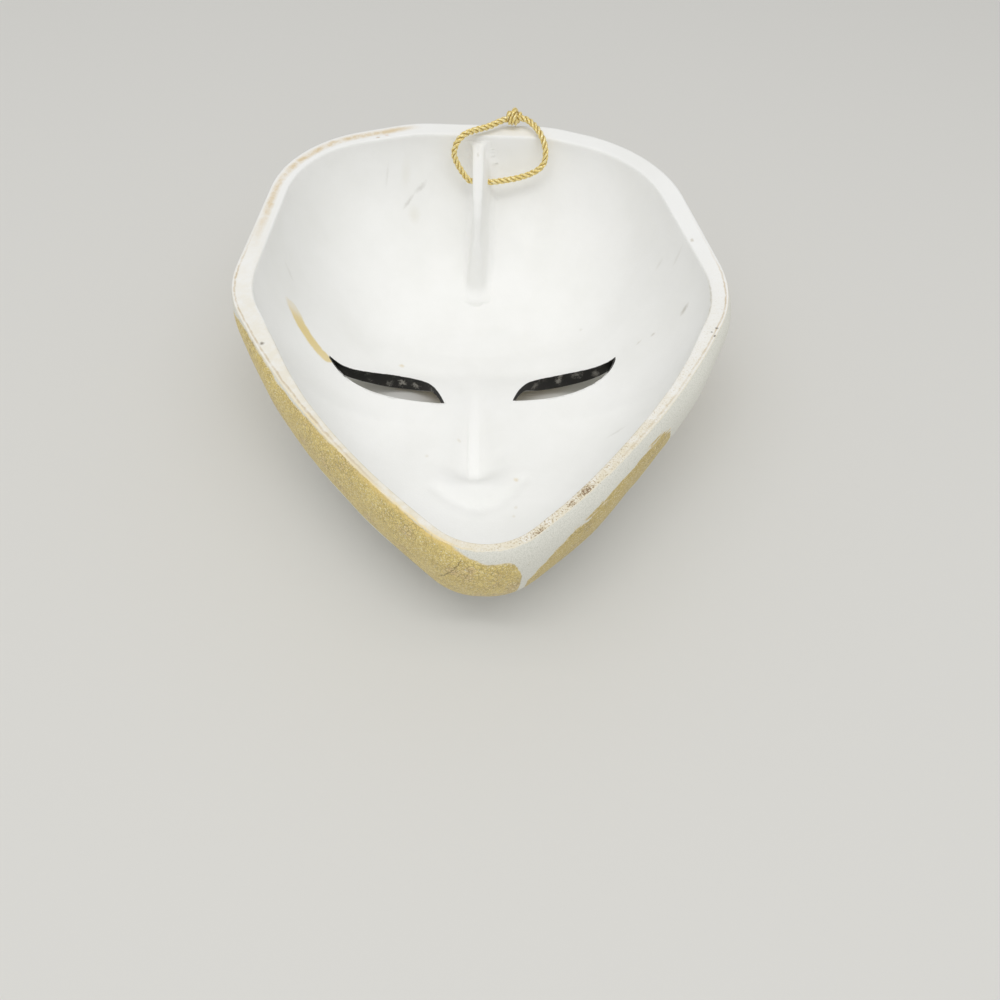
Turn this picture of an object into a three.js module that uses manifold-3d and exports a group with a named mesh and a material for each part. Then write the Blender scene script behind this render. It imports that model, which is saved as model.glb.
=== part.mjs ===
// Painted ceramic wall mask with its hanging cord, lying face down.
// Millimetres, +Z up towards the open back, +Y from the chin to the forehead, +X to the right
// seen from above. Inside this file y is measured up from the chin, and depth is measured down
// from the flat back rim. The last lines move the middle of the mask to the origin.
import * as THREE from 'three';
import { mergeVertices } from 'three/addons/utils/BufferGeometryUtils.js';
import Module from 'manifold-3d';

const wasm = await Module();
wasm.setup();

// Shell
const rimLevel = 46;
const wallThickness = 3.2;
const rimRounding = 0.5;
const rimRoundingDepth = 2.5;
const bulgeDepth = 4;
const swellShare = { from: 0.2, to: 0.9 };
const bowlCentre = { x: 0, y: 62 };
const gridCentre = { x: -1.5, y: 41 };
const spokeCount = 80;
const outerRingCount = 30;
const innerRingCount = 16;
const ringCrowding = 0.9;
const arcSteps = 40;

// Corners of the rim's outline, each rounded by an arc: the chin, then jaw, cheek, temple and top
// on the right, and the same on the left in reverse. The hand-made sides are not quite alike
const rimCorners = [
  { x: 0, y: -5.5, radius: 16.5 },
  { x: 39, y: 29.3, radius: 210 },
  { x: 64.4, y: 76.5, radius: 37.1 },
  { x: 53, y: 141.8, radius: 40.4 },
  { x: 20.5, y: 153.2, radius: 27.9 },
  { x: -20.9, y: 152.7, radius: 31.6 },
  { x: -56.8, y: 138.6, radius: 35.6 },
  { x: -63, y: 73.4, radius: 32 },
  { x: -39, y: 29.3, radius: 210 },
];

// Width of the flat rim, by degrees from the forehead and positive to the right. It was ground
// flat, so it is widest where the wall leans most
const rimWidth = [
  [-180, 2.3], [-150, 2.3], [-135, 2.5], [-120, 2.9], [-110, 3.6], [-100, 4.6], [-90, 5.3],
  [-75, 5.5], [-55, 5.1], [-35, 5.3], [-15, 6.3], [0, 6.7], [20, 6.7], [45, 6.4], [60, 5.7],
  [75, 5], [90, 4.4], [100, 3.7], [112, 3.2], [130, 3], [145, 2.7], [160, 2.3], [180, 2.3],
];

// How squarely the wall turns into the face, by degrees round from the forehead: 2 is a plain
// ellipse and higher powers are squarer. How steeply it meets the rim: 0.5 is upright
const wallFullness = {
  outside: [[0, 3], [50, 2.8], [90, 3], [130, 7], [155, 7], [180, 6.2]],
  inside: [[0, 3.3], [50, 2.9], [90, 3.4], [130, 7], [155, 7], [180, 6.2]],
};
const wallLean = [[0, 0.57], [50, 0.57], [85, 0.5], [180, 0.5]];

// How far the wall below the rim stands out beyond it, by degrees from the forehead and positive
// to the right. The hand-made piece is fuller on its right
const wallBulge = [
  [-180, 2.1], [-165, 1.6], [-150, 1.6], [-125, 1.6], [-108, 2.2], [-85, 1.3], [-60, 0],
  [45, 0], [62, 2], [85, 3.3], [105, 3.3], [120, 2.4], [135, 2.1], [150, 2.9], [168, 2.8], [180, 2.1],
];

// Face. It stands a little left of the rim's middle, as on the hand-made piece
const midline = -1.5;
const chinDepth = 34.5;
const cheekGain = { depth: 2.5, from: 5, to: 60 };
const foreheadGain = { depth: 13.5, from: 62, to: 112 };
const midFaceTilt = { slope: 0.045, y: 72, reach: 24 };
const nose = {
  bridgeY: 76, tipY: 48, rootY: 84, baseY: 40.5,
  bridgeRise: 1.5, tipRise: 7.9, bridgeHalfWidth: 4.2, tipHalfWidth: 8.6,
  rootFade: 12, baseFade: 6, growth: 1.1, roundness: 2.2,
};
const reliefs = [
  { name: 'brow', x: 21, y: 86, width: 20, height: 5.5, rise: 2.2 },
  { name: 'eye socket', x: 25, y: 75, width: 17, height: 8, rise: -2.6 },
  { name: 'cheek', x: 27, y: 54, width: 15, height: 12, rise: 2 },
  { name: 'round of the mouth', x: 0, y: 31, width: 17, height: 11, rise: 3.6 },
  { name: 'chin', x: 0, y: 13, width: 11, height: 9, rise: 3.4 },
];
const frontReliefs = [
  { name: 'nostril wing', x: 6.4, y: 47, width: 3.6, height: 3.8, rise: 2.6 },
  { name: 'upper lip', x: 3.4, y: 34.8, width: 7, height: 2.6, rise: 2.2 },
  { name: 'lower lip', x: 0, y: 27.6, width: 9, height: 3, rise: 2.8 },
  { name: 'line of the mouth', x: 0, y: 31.4, width: 12.5, height: 1.5, rise: -1.8 },
  { name: 'groove under the nose', x: 0, y: 39.4, width: 2.2, height: 3, rise: -0.8 },
  { name: 'upper lid', x: 25, y: 83, width: 16, height: 4.5, rise: 2.4 },
];
const insideSoftness = 0.75;
const insideNarrowing = 1.6;

// Eye slits: two curves from the inner corner to the outer tip, x measured outwards from the
// midline. They were cut by hand and are not quite alike
const slits = [
  {
    side: -1,
    innerCorner: [8.7, 69.5],
    outerTip: [41.1, 82.2],
    lowerPulls: [[28.7, 70.1], [35.4, 72.1]],
    upperPulls: [[30.8, 73.8], [18.1, 97.2]],
  },
  {
    side: 1,
    innerCorner: [10.7, 70.2],
    outerTip: [40.3, 85],
    lowerPulls: [[26.2, 69.1], [36.9, 72.2]],
    upperPulls: [[31.1, 79.3], [18.2, 91.4]],
  },
];
const slitSteps = 8;

// Hanging lug: a web in the midline plane, cast on the inside of the forehead. Its free edge
// runs from the rim to the bowl, given as [y, depth]
const lugEdge = [
  [145.6, 1.6], [143.6, 2.8], [140.6, 4.8], [134, 7.4], [129, 10.4], [125.8, 14.5],
  [123.9, 20], [122.4, 27], [120.8, 34], [119.4, 40],
];
// Half the web's thickness by depth below the rim
const lugHalfWidth = [[1.6, 1.7], [6, 1.5], [12, 1.3], [21, 1], [26, 1.7], [32, 2.4], [40, 2.5]];
const lugTaper = 0.1;
const lugLean = 0.1;
const lugFlare = 2.2;
const lugFlareReach = 3.5;
const lugFootInWall = 1.6;
const lugLeastSpan = 3;
const lugSearchStep = 0.1;
const lugEdgeRound = 0.3;
const lugFlareFrom = 0.45;
const lugShoulder = { x: 0.75, y: 0.35 };
const lugFillet = { x: 0.35, y: 0.3 };
const cordHole = { y: 139.3, depth: 10.8, radius: 1.7, length: 14, sides: 16 };

// Cord: a loop through the lug's hole, closed by a knot that rests on the rim
const cordRadius = 1;
const cordSides = 8;
const cordSteps = 38;
const knotCentre = [9.4, 151, 49.4];
const knotHalfSize = { x: 3, y: 2.5, z: 2.6 };
const knotTurns = { radius: 2.05, tube: 0.95, leans: [-0.45, 0.5], shift: 1.6 };
const knotSides = { round: 10, across: 6, core: 8 };
const cordRoute = [
  [13.0, 150.7, 49.1], [15.3, 148.5, 48.6], [17.3, 145.6, 47.5], [18.6, 143.3, 45.4],
  [19.0, 142.0, 42.8], [18.4, 141.3, 40.3], [16.0, 140.8, 38.2], [11.7, 140.3, 36.6],
  [7.1, 139.7, 35.8],
  [3.0, 139.4, 35.3], [-1.5, 139.3, 35.2], [-3.9, 139.4, 35.6], [-5.7, 139.9, 37.4],
  [-7.5, 140.5, 40.0], [-8.6, 140.9, 43.1], [-7.7, 141.8, 46.2], [-5.4, 143.4, 47.9],
  [-2.1, 145.6, 48.1], [2.0, 147.9, 48.2], [5.7, 150.1, 48.8],
];

const ceramic = new THREE.MeshStandardMaterial({ color: '#e9e7df', roughness: 0.8, metalness: 0 });
const goldCord = new THREE.MeshStandardMaterial({ color: '#c9a94e', roughness: 0.4, metalness: 0.7 });

function smoothStep(from, to, value) {
  const t = Math.min(Math.max((value - from) / (to - from), 0), 1);
  return t * t * (3 - 2 * t);
}

function lookUp(table, value) {
  const next = Math.max(1, table.findIndex(([key]) => key >= value));
  const [lowKey, low] = table[next - 1];
  const [highKey, high] = table[next];
  return THREE.MathUtils.lerp(low, high, (value - lowKey) / (highKey - lowKey));
}

function bearingOf(x, y) {
  return THREE.MathUtils.radToDeg(Math.atan2(x - bowlCentre.x, y - bowlCentre.y));
}

// The rim's outline, anticlockwise from the chin, moved inwards by an inset found by bearing
function rimOutline(insetAt) {
  const points = rimCorners.flatMap((corner, index) => {
    const here = new THREE.Vector2(corner.x, corner.y);
    const before = rimCorners.at(index - 1);
    const after = rimCorners[(index + 1) % rimCorners.length];
    const back = new THREE.Vector2(before.x, before.y).sub(here).normalize();
    const onward = new THREE.Vector2(after.x, after.y).sub(here).normalize();
    const halfAngle = Math.acos(back.dot(onward)) / 2;
    const middle = back.clone().add(onward).normalize();
    const centre = here.clone().addScaledVector(middle, corner.radius / Math.sin(halfAngle));
    const turn = Math.PI / 2 - halfAngle;
    const outward = Math.atan2(-middle.y, -middle.x);
    return Array.from({ length: arcSteps + 1 }, (_, step) => {
      const angle = outward + turn * (2 * step / arcSteps - 1);
      const towards = new THREE.Vector2(Math.cos(angle), Math.sin(angle));
      const point = centre.clone().addScaledVector(towards, corner.radius);
      return point.addScaledVector(towards, -insetAt(bearingOf(point.x, point.y)));
    });
  });
  return [...points, points[0].clone()];
}

// Where the ray from a centre at an angle meets an outline of closely spaced points
function radiusAt(points, centre, angle) {
  const direction = new THREE.Vector2(Math.cos(angle), Math.sin(angle));
  for (let i = 0; i < points.length - 1; i += 1) {
    const start = points[i].clone().sub(centre);
    const side = points[i + 1].clone().sub(points[i]);
    const spread = direction.cross(side);
    const along = start.cross(direction) / spread;
    const radius = start.cross(side) / spread;
    if (along >= -1e-9 && along <= 1 + 1e-9 && radius > 0) return radius;
  }
  throw new Error('the outline is open');
}

// A soft mound or hollow, alike on both sides of the midline
function mound(relief, across, y) {
  const u = (Math.abs(across) - relief.x) / relief.width;
  const v = (y - relief.y) / relief.height;
  return relief.rise * Math.exp(-(u * u) - v * v);
}

function noseRise(across, y, narrowing) {
  const down = Math.min(Math.max((nose.bridgeY - y) / (nose.bridgeY - nose.tipY), 0), 1);
  const rise = nose.bridgeRise + nose.tipRise * down ** nose.growth;
  const ends = smoothStep(nose.rootY, nose.rootY - nose.rootFade, y)
    * smoothStep(nose.baseY, nose.baseY + nose.baseFade, y);
  const halfWidth = THREE.MathUtils.lerp(nose.bridgeHalfWidth, nose.tipHalfWidth, down) - narrowing;
  return rise * ends * Math.exp(-((Math.abs(across) / halfWidth) ** nose.roundness));
}

// Depth of the face below the rim before it turns up into the wall
function faceDepth(x, y, inside) {
  const across = x - midline;
  const narrowing = inside ? insideNarrowing : 0;
  const plain = chinDepth
    + cheekGain.depth * smoothStep(cheekGain.from, cheekGain.to, y)
    + foreheadGain.depth * smoothStep(foreheadGain.from, foreheadGain.to, y);
  const tilt = midFaceTilt.slope * across * Math.exp(-(((y - midFaceTilt.y) / midFaceTilt.reach) ** 2));
  let relief = noseRise(across, y, narrowing);
  reliefs.forEach((each) => { relief += mound(each, across, y); });
  if (inside) return plain + relief * insideSoftness - tilt - wallThickness;
  frontReliefs.forEach((each) => { relief += mound(each, across, y); });
  return plain + relief - tilt;
}

// The shell's outside or inside as a function of x and y. Its wall turns up where the share of
// the way from the bowl's centre to the outline nears 1
class ShellSide {
  constructor(inside) {
    this.inside = inside;
    this.fullness = inside ? wallFullness.inside : wallFullness.outside;
    this.outline = rimOutline((bearing) => (inside ? lookUp(rimWidth, bearing) : rimRounding));
  }

  pointAt(x, y) {
    const angle = Math.atan2(y - bowlCentre.y, x - bowlCentre.x);
    const reach = Math.hypot(x - bowlCentre.x, y - bowlCentre.y);
    const share = Math.min(reach / radiusAt(this.outline, bowlCentre, angle), 1);
    const bearing = bearingOf(x, y);
    const turned = Math.abs(bearing);
    const edge = (1 - share ** lookUp(this.fullness, turned)) ** lookUp(wallLean, turned);
    const deepest = this.inside ? rimLevel - wallThickness : rimLevel;
    const depth = Math.min(faceDepth(x, y, this.inside) * edge, deepest);
    const swell = this.inside ? 0 : wallSwell(depth, bearing, share);
    const outX = x + swell * Math.cos(angle);
    const outY = y + swell * Math.sin(angle);
    return new THREE.Vector3(outX, outY, rimLevel - depth);
  }
}

// How far the outside stands out beyond its outline: the rim's rounded edge, and the full wall
function wallSwell(depth, bearing, share) {
  const full = lookUp(wallBulge, bearing) * (1 - Math.exp(-depth / bulgeDepth));
  const edge = rimRounding * (1 - Math.exp(-depth / rimRoundingDepth));
  return smoothStep(swellShare.from, swellShare.to, share) * (full + edge);
}

// Rings of points from under the nose out to the rim, over it and back inside
function shellRings(outside, inside) {
  const rim = new THREE.Path(rimOutline(() => 0));
  const spokes = rim.getSpacedPoints(spokeCount).slice(0, spokeCount);
  const angles = spokes.map((p) => Math.atan2(p.y - gridCentre.y, p.x - gridCentre.x));
  const ringsOf = (side, count) => {
    const radii = angles.map((angle) => radiusAt(side.outline, gridCentre, angle));
    return Array.from({ length: count }, (_, k) => {
      const t = Math.sin(((k + 1) / count) * Math.PI / 2) ** ringCrowding;
      return angles.map((angle, i) => side.pointAt(
        gridCentre.x + t * radii[i] * Math.cos(angle),
        gridCentre.y + t * radii[i] * Math.sin(angle),
      ));
    });
  };
  return [...ringsOf(outside, outerRingCount), ...ringsOf(inside, innerRingCount).reverse()];
}

// A closed surface through rings of equal length, with a pole point at each end
function skinOf(firstPole, rings, lastPole) {
  const length = rings[0].length;
  const positions = [firstPole, ...rings.flat(), lastPole].flatMap((p) => [p.x, p.y, p.z]);
  const at = (ring, i) => 1 + ring * length + (i % length);
  const last = 1 + rings.length * length;
  const faces = [];
  for (let i = 0; i < length; i += 1) {
    faces.push(0, at(0, i + 1), at(0, i));
    faces.push(last, at(rings.length - 1, i), at(rings.length - 1, i + 1));
    for (let ring = 0; ring < rings.length - 1; ring += 1) {
      faces.push(at(ring, i), at(ring, i + 1), at(ring + 1, i + 1));
      faces.push(at(ring, i), at(ring + 1, i + 1), at(ring + 1, i));
    }
  }
  const geometry = new THREE.BufferGeometry();
  geometry.setAttribute('position', new THREE.Float32BufferAttribute(positions, 3));
  geometry.setIndex(faces);
  return geometry;
}

function solidOf(geometry) {
  const bare = geometry.clone();
  bare.deleteAttribute('normal');
  bare.deleteAttribute('uv');
  const merged = mergeVertices(bare, 1e-4);
  const vertProperties = new Float32Array(merged.getAttribute('position').array);
  const triVerts = new Uint32Array(merged.getIndex().array);
  return new wasm.Manifold(new wasm.Mesh({ numProp: 3, vertProperties, triVerts }));
}

function geometryOf(solid) {
  const mesh = solid.getMesh();
  const geometry = new THREE.BufferGeometry();
  geometry.setAttribute('position', new THREE.BufferAttribute(mesh.vertProperties, 3));
  geometry.setIndex(new THREE.BufferAttribute(mesh.triVerts, 1));
  geometry.computeVertexNormals();
  return geometry;
}

function shellSolid(outside, inside) {
  const poleOf = (side) => side.pointAt(gridCentre.x, gridCentre.y);
  return solidOf(skinOf(poleOf(outside), shellRings(outside, inside), poleOf(inside)));
}

// A straight cut through the wall in the shape of one eye
function slitCutter(slit) {
  const place = ([across, y]) => new THREE.Vector2(midline + slit.side * across, y);
  const curve = (from, pulls, to) => new THREE.CubicBezierCurve(
    place(from), place(pulls[0]), place(pulls[1]), place(to),
  ).getPoints(slitSteps);
  const lower = curve(slit.innerCorner, slit.lowerPulls, slit.outerTip);
  const upper = curve(slit.outerTip, slit.upperPulls, slit.innerCorner);
  const outline = [...lower.slice(0, -1), ...upper.slice(0, -1)];
  const shape = new THREE.Shape(outline);
  return solidOf(new THREE.ExtrudeGeometry(shape, { depth: rimLevel, bevelEnabled: false }));
}

// Level slices through the lug, from its tip near the rim down into the bowl. Each slice runs
// from the wall, where the web flares, to the rounded free edge. The web thickens towards its
// root, and leans a little to the right as it goes back
function lugSolid(inside) {
  const topY = bowlCentre.y + radiusAt(inside.outline, bowlCentre, Math.PI / 2);
  const wallAt = (depth) => {
    let y = topY;
    while (inside.pointAt(midline, y).z > rimLevel - depth) y -= lugSearchStep;
    return y;
  };
  const slices = lugEdge.map(([edgeY, depth]) => {
    const half = lookUp(lugHalfWidth, depth);
    const foot = Math.max(wallAt(depth) + lugFootInWall, edgeY + lugLeastSpan);
    const span = foot - edgeY;
    const wallY = foot - lugFootInWall;
    const flareY = Math.max(edgeY + lugFlareFrom * span, wallY - lugFlareReach);
    const edgeRound = Math.min(half, lugEdgeRound * span);
    const outline = [
      [0, edgeY],
      [lugShoulder.x * half, edgeY + lugShoulder.y * edgeRound],
      [half, edgeY + edgeRound],
      [half, flareY],
      [half + lugFillet.x * lugFlare, (flareY + wallY) / 2 + lugFillet.y],
      [half + lugFlare, wallY + 2 * lugFillet.y],
      [half + lugFlare, foot],
    ];
    const placed = (side) => ([x, y]) => {
      const back = y - edgeY;
      const across = lugLean * back + side * (x + lugTaper * back);
      return new THREE.Vector3(midline + across, y, rimLevel - depth);
    };
    return [...outline.map(placed(1)), ...outline.slice(1).reverse().map(placed(-1))];
  });
  slices.reverse();
  const middleOf = (slice) => new THREE.Box3().setFromPoints(slice).getCenter(new THREE.Vector3());
  return solidOf(skinOf(middleOf(slices[0]), slices, middleOf(slices.at(-1))));
}

function holeCutter() {
  const { radius, length, sides } = cordHole;
  const geometry = new THREE.CylinderGeometry(radius, radius, length, sides);
  geometry.rotateZ(Math.PI / 2);
  geometry.translate(midline, cordHole.y, rimLevel - cordHole.depth);
  return solidOf(geometry);
}

function maskShell() {
  const outside = new ShellSide(false);
  const inside = new ShellSide(true);
  const whole = shellSolid(outside, inside).add(lugSolid(inside));
  const cut = slits.reduce((solid, slit) => solid.subtract(slitCutter(slit)), whole);
  const solid = cut.subtract(holeCutter());
  const mesh = new THREE.Mesh(geometryOf(solid), ceramic);
  mesh.name = 'mask_shell';
  return mesh;
}

function hangingCord() {
  const route = new THREE.CatmullRomCurve3(cordRoute.map((point) => new THREE.Vector3(...point)));
  const section = new THREE.Shape();
  section.absarc(0, 0, cordRadius, 0, 2 * Math.PI, false);
  const geometry = new THREE.ExtrudeGeometry(section, {
    extrudePath: route, steps: cordSteps, curveSegments: cordSides / 2, bevelEnabled: false,
  });
  const mesh = new THREE.Mesh(geometry, goldCord);
  mesh.name = 'hanging_cord';
  return mesh;
}

// An overhand knot: a rounded core with two turns of the cord drawn tight round it
function cordKnot() {
  const core = new THREE.SphereGeometry(1, knotSides.round, knotSides.core);
  core.scale(knotHalfSize.x, knotHalfSize.y, knotHalfSize.z);
  const turns = knotTurns.leans.map((lean) => {
    const turn = new THREE.TorusGeometry(
      knotTurns.radius, knotTurns.tube, knotSides.across, knotSides.round,
    );
    turn.rotateY(Math.PI / 2 + lean);
    turn.translate(lean * knotTurns.shift, 0, 0);
    return solidOf(turn);
  });
  const solid = turns.reduce((whole, turn) => whole.add(turn), solidOf(core));
  const mesh = new THREE.Mesh(geometryOf(solid), goldCord);
  mesh.position.set(...knotCentre);
  mesh.name = 'cord_knot';
  return mesh;
}

const mask = new THREE.Group();
const shell = maskShell();
mask.add(shell, hangingCord(), cordKnot());
const middle = new THREE.Box3().setFromObject(shell).getCenter(new THREE.Vector3());
mask.position.set(-middle.x, -middle.y, 0);

export default mask;
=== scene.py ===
import math

import bpy
import numpy as np
from mathutils import Matrix, Vector


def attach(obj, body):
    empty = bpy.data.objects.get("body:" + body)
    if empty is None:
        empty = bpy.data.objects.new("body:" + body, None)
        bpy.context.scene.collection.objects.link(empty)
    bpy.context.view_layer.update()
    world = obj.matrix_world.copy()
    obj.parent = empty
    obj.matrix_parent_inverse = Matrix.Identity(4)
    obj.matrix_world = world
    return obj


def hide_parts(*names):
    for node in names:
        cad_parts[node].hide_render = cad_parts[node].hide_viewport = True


# Painted ceramic wall mask lying face down, with its gold hanging cord. Shapes are worked out in
# millimetres in the mask's own frame: y up from the chin, z up from the face to the rim at 46
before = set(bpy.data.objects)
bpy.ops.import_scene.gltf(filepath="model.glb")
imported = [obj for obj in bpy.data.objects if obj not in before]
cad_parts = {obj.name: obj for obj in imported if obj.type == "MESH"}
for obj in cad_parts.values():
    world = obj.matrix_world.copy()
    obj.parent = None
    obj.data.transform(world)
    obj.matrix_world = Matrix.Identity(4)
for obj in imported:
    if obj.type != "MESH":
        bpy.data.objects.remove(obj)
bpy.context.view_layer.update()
rowShift = np.array([-0.8079, -75.8322, 0.0])  # the mask's own frame to the row frame, mm


def toRow(points):
    return (np.asarray(points, float) + rowShift) * 0.001


def smoothStep(low, high, value):
    t = np.clip((value - low) / (high - low), 0, 1)
    return t * t * (3 - 2 * t)


def toLinear(hexColour):  # sRGB hex to linear RGBA
    parts = np.array([int(hexColour[i:i + 2], 16) for i in (1, 3, 5)]) / 255
    linear = np.where(parts <= 0.04045, parts / 12.92, ((parts + 0.055) / 1.055) ** 2.4)
    return (*linear.tolist(), 1.0)


def addNode(tree, kind, links=None, output=None, **settings):  # links: socket -> value or output
    node = tree.nodes.new("ShaderNode" + kind)
    for key, value in settings.items():
        setattr(node, key, value)
    for socket, value in (links or {}).items():
        if isinstance(value, bpy.types.NodeSocket):
            tree.links.new(value, node.inputs[socket])
        else:
            node.inputs[socket].default_value = value
    return node.outputs[output if output is not None else 2 if kind == "Mix" else 0]


def newMaterial(name):
    material = bpy.data.materials.new(name)
    material.use_nodes = True
    tree = material.node_tree
    return material, tree, tree.nodes["Principled BSDF"]


def gridFaces(rows, columns, closed):  # quads between the rows of a grid of points, row by row
    row, column = np.meshgrid(np.arange(rows - 1), np.arange(columns if closed else columns - 1),
                              indexing="ij")
    row, column = row.ravel(), column.ravel()
    onward = (column + 1) % columns
    return np.stack([row * columns + column, row * columns + onward,
                     (row + 1) * columns + onward, (row + 1) * columns + column], -1)


def meshObject(name, points, faces, material):
    mesh = bpy.data.meshes.new(name)
    mesh.from_pydata(toRow(points).tolist(), [], faces)
    mesh.materials.append(material)
    mesh.shade_smooth()
    piece = bpy.data.objects.new(name, mesh)
    bpy.context.scene.collection.objects.link(piece)
    return piece


# A closed tube through sections of points, with a face at each end
def tubeObject(name, sections, material):
    rows, columns = sections.shape[:2]
    faces = gridFaces(rows, columns, True)[:, ::-1].tolist()
    faces += [list(range(columns)), list(range(rows * columns - 1, (rows - 1) * columns - 1, -1))]
    return meshObject(name, sections.reshape(-1, 3), faces, material)


# Camera: the photograph's own view, from the rim's outline put back into perspective
cameraView = {
    "place": (-3.826, -73.279, 168.9),
    "right": (0.99885649, -0.01552868, 0.04521685),
    "up": (-0.01313154, 0.82029397, 0.57179136),
    "back": (-0.04597028, -0.57173128, 0.81915204),
    "lens": 27.036,
}
lens = bpy.data.cameras.new("photo_view")
lens.lens = cameraView["lens"]
lens.sensor_width = 36
lens.clip_start = 0.01
cameraObject = bpy.data.objects.new("photo_view", lens)
turned = Matrix([cameraView["right"], cameraView["up"], cameraView["back"]]).transposed()
cameraObject.matrix_world = Matrix.Translation(toRow(cameraView["place"])) @ turned.to_4x4()
bpy.context.scene.collection.objects.link(cameraObject)
bpy.context.scene.camera = cameraObject
print("camera placed")


# Cord: three gold yarns laid round each other, through the lug's hole and closed by a knot
cord = {
    "diameter": 2.0,
    "bedding": 0.93,       # the yarns bed into each other, so the cord is a little thinner
    "layLength": 5.2,      # one turn of the yarns, from the spacing of the bumps
    "yarnShare": 0.47,     # a yarn's radius as a share of the cord's
    "step": 0.3,
    "sides": 12,
    "filamentPitch": 0.16,
    "filamentLean": 28,    # degrees, across the yarn
    "fromHole": [(-1.5, 139.3, 35.2), (-3.9, 139.4, 35.6), (-5.7, 139.9, 37.4),
                 (-7.5, 140.5, 40.0), (-8.6, 140.9, 43.1), (-7.7, 141.8, 46.2),
                 (-5.4, 143.4, 47.9), (-2.1, 145.6, 48.1), (2.0, 147.9, 48.2), (5.7, 150.1, 48.8)],
    "knotCentre": (9.4, 151.0, 49.4),
    "toHole": [(13.0, 150.7, 49.1), (15.3, 148.5, 48.6), (17.3, 145.6, 47.5),
               (18.6, 143.3, 45.4), (19.0, 142.0, 42.8), (18.4, 141.3, 40.3), (16.0, 140.8, 38.2),
               (11.7, 140.3, 36.6), (7.1, 139.7, 35.8), (3.0, 139.4, 35.3), (-1.5, 139.3, 35.2)],
}
knot = {
    "tube": 0.95,  # radius of the cord where it is drawn tight round itself
    # turns round the cord, how far they reach along it and out from it, and where they sit on it
    "turns": 2.3, "halfLength": 1.6, "reach": 1.65, "steps": 60, "lean": 0.35,
    "offset": (-0.1, 0.2, 0.1),
}


# A smooth line through points: each span is the cubic whose ends match its neighbours' slopes
# (Catmull-Rom), then the line is cut again at equal steps of its length
def smoothLine(points, step):
    points = np.asarray(points, float)
    padded = np.vstack([2 * points[0] - points[1], points, 2 * points[-1] - points[-2]])
    p0, p1, p2, p3 = (padded[i:len(padded) - 3 + i, None] for i in range(4))
    t = np.linspace(0, 1, 40, endpoint=False)[None, :, None]
    spans = 0.5 * (2 * p1 + (p2 - p0) * t + (2 * p0 - 5 * p1 + 4 * p2 - p3) * t ** 2
                   + (3 * p1 - p0 - 3 * p2 + p3) * t ** 3)
    line = np.vstack([spans.reshape(-1, 3), points[-1:]])
    length = np.concatenate([[0], np.cumsum(np.linalg.norm(np.diff(line, axis=0), axis=1))])
    at = np.linspace(0, length[-1], int(length[-1] / step) + 1)
    return np.stack([np.interp(at, length, line[:, i]) for i in range(3)], -1), length[-1]


# Across and up at each point of a line, carried along it without twist
def carriedAxes(line):
    along = np.gradient(line, axis=0)
    along /= np.linalg.norm(along, axis=1)[:, None]
    across = np.empty_like(along)
    across[0] = np.cross(along[0], (0.2, 0.9, 0.4))
    for i in range(1, len(line)):
        across[i] = across[i - 1] - along[i] * (across[i - 1] @ along[i])
        across[i] /= np.linalg.norm(across[i])
    across[0] /= np.linalg.norm(across[0])
    return across, np.cross(along, across)


# Laid cord: yarn k's middle turns round the line, at angle 2 pi (length / lay + k / 3) and at
# the cord's radius less the yarn's; each yarn is a round tube with both ends closed
def laidCord(name, line, radius, material):
    steps, sides = len(line), cord["sides"]
    length = np.arange(steps) * cord["step"]
    yarn = radius * cord["yarnShare"]
    across, up = carriedAxes(line)
    points, faces, uvs, crest = [], [], [], []
    for k in range(3):
        turn = 2 * np.pi * (length / cord["layLength"] + k / 3)
        middle = line + (radius - yarn) * (
            across * np.cos(turn)[:, None] + up * np.sin(turn)[:, None])
        side, rise = carriedAxes(middle)
        angle = np.linspace(0, 2 * np.pi, sides, endpoint=False)
        ring = middle[:, None] + yarn * (side[:, None] * np.cos(angle)[None, :, None]
                                         + rise[:, None] * np.sin(angle)[None, :, None])
        base = k * (steps * sides)
        points.append(ring.reshape(-1, 3))
        crest.append(np.linalg.norm(ring - line[:, None], axis=-1).ravel() / radius)
        quads = gridFaces(steps, sides, True) + base
        faces += quads.tolist()
        row, column = np.divmod(np.arange((steps - 1) * sides), sides)
        corner = np.stack([np.stack([length[row], column / sides], -1),
                           np.stack([length[row], (column + 1) / sides], -1),
                           np.stack([length[row + 1], (column + 1) / sides], -1),
                           np.stack([length[row + 1], column / sides], -1)], 1)
        uvs.append(corner.reshape(-1, 2))
        ends = [list(range(base + sides - 1, base - 1, -1)),
                list(range(base + (steps - 1) * sides, base + steps * sides))]
        faces += ends
        uvs.append(np.zeros((2 * sides, 2)))
    piece = meshObject(name, np.vstack(points), faces, material)
    layer = piece.data.uv_layers.new(name="yarn")
    layer.data.foreach_set("uv", np.vstack(uvs).ravel())
    # how far out from the cord's middle each point lies, as a share of its radius
    piece.data.attributes.new("crest", "FLOAT", "POINT").data.foreach_set(
        "value", np.concatenate(crest).astype(np.float32))
    return piece


# The knot's turns: a coil round the cord whose distance from it is the reach times the square
# root of sin(pi s), so that both of its ends are buried
def knotLine():
    s = np.linspace(0, 1, knot["steps"])
    angle = 2 * np.pi * knot["turns"] * s
    out = knot["reach"] * np.sqrt(np.sin(np.pi * s))
    along = knot["halfLength"] * (2 * s - 1) + knot["lean"] * out * np.cos(angle)
    coil = np.stack([along, out * np.cos(angle), out * np.sin(angle)], -1)
    return smoothLine(coil + cord["knotCentre"] + np.array(knot["offset"]), cord["step"])[0]


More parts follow.
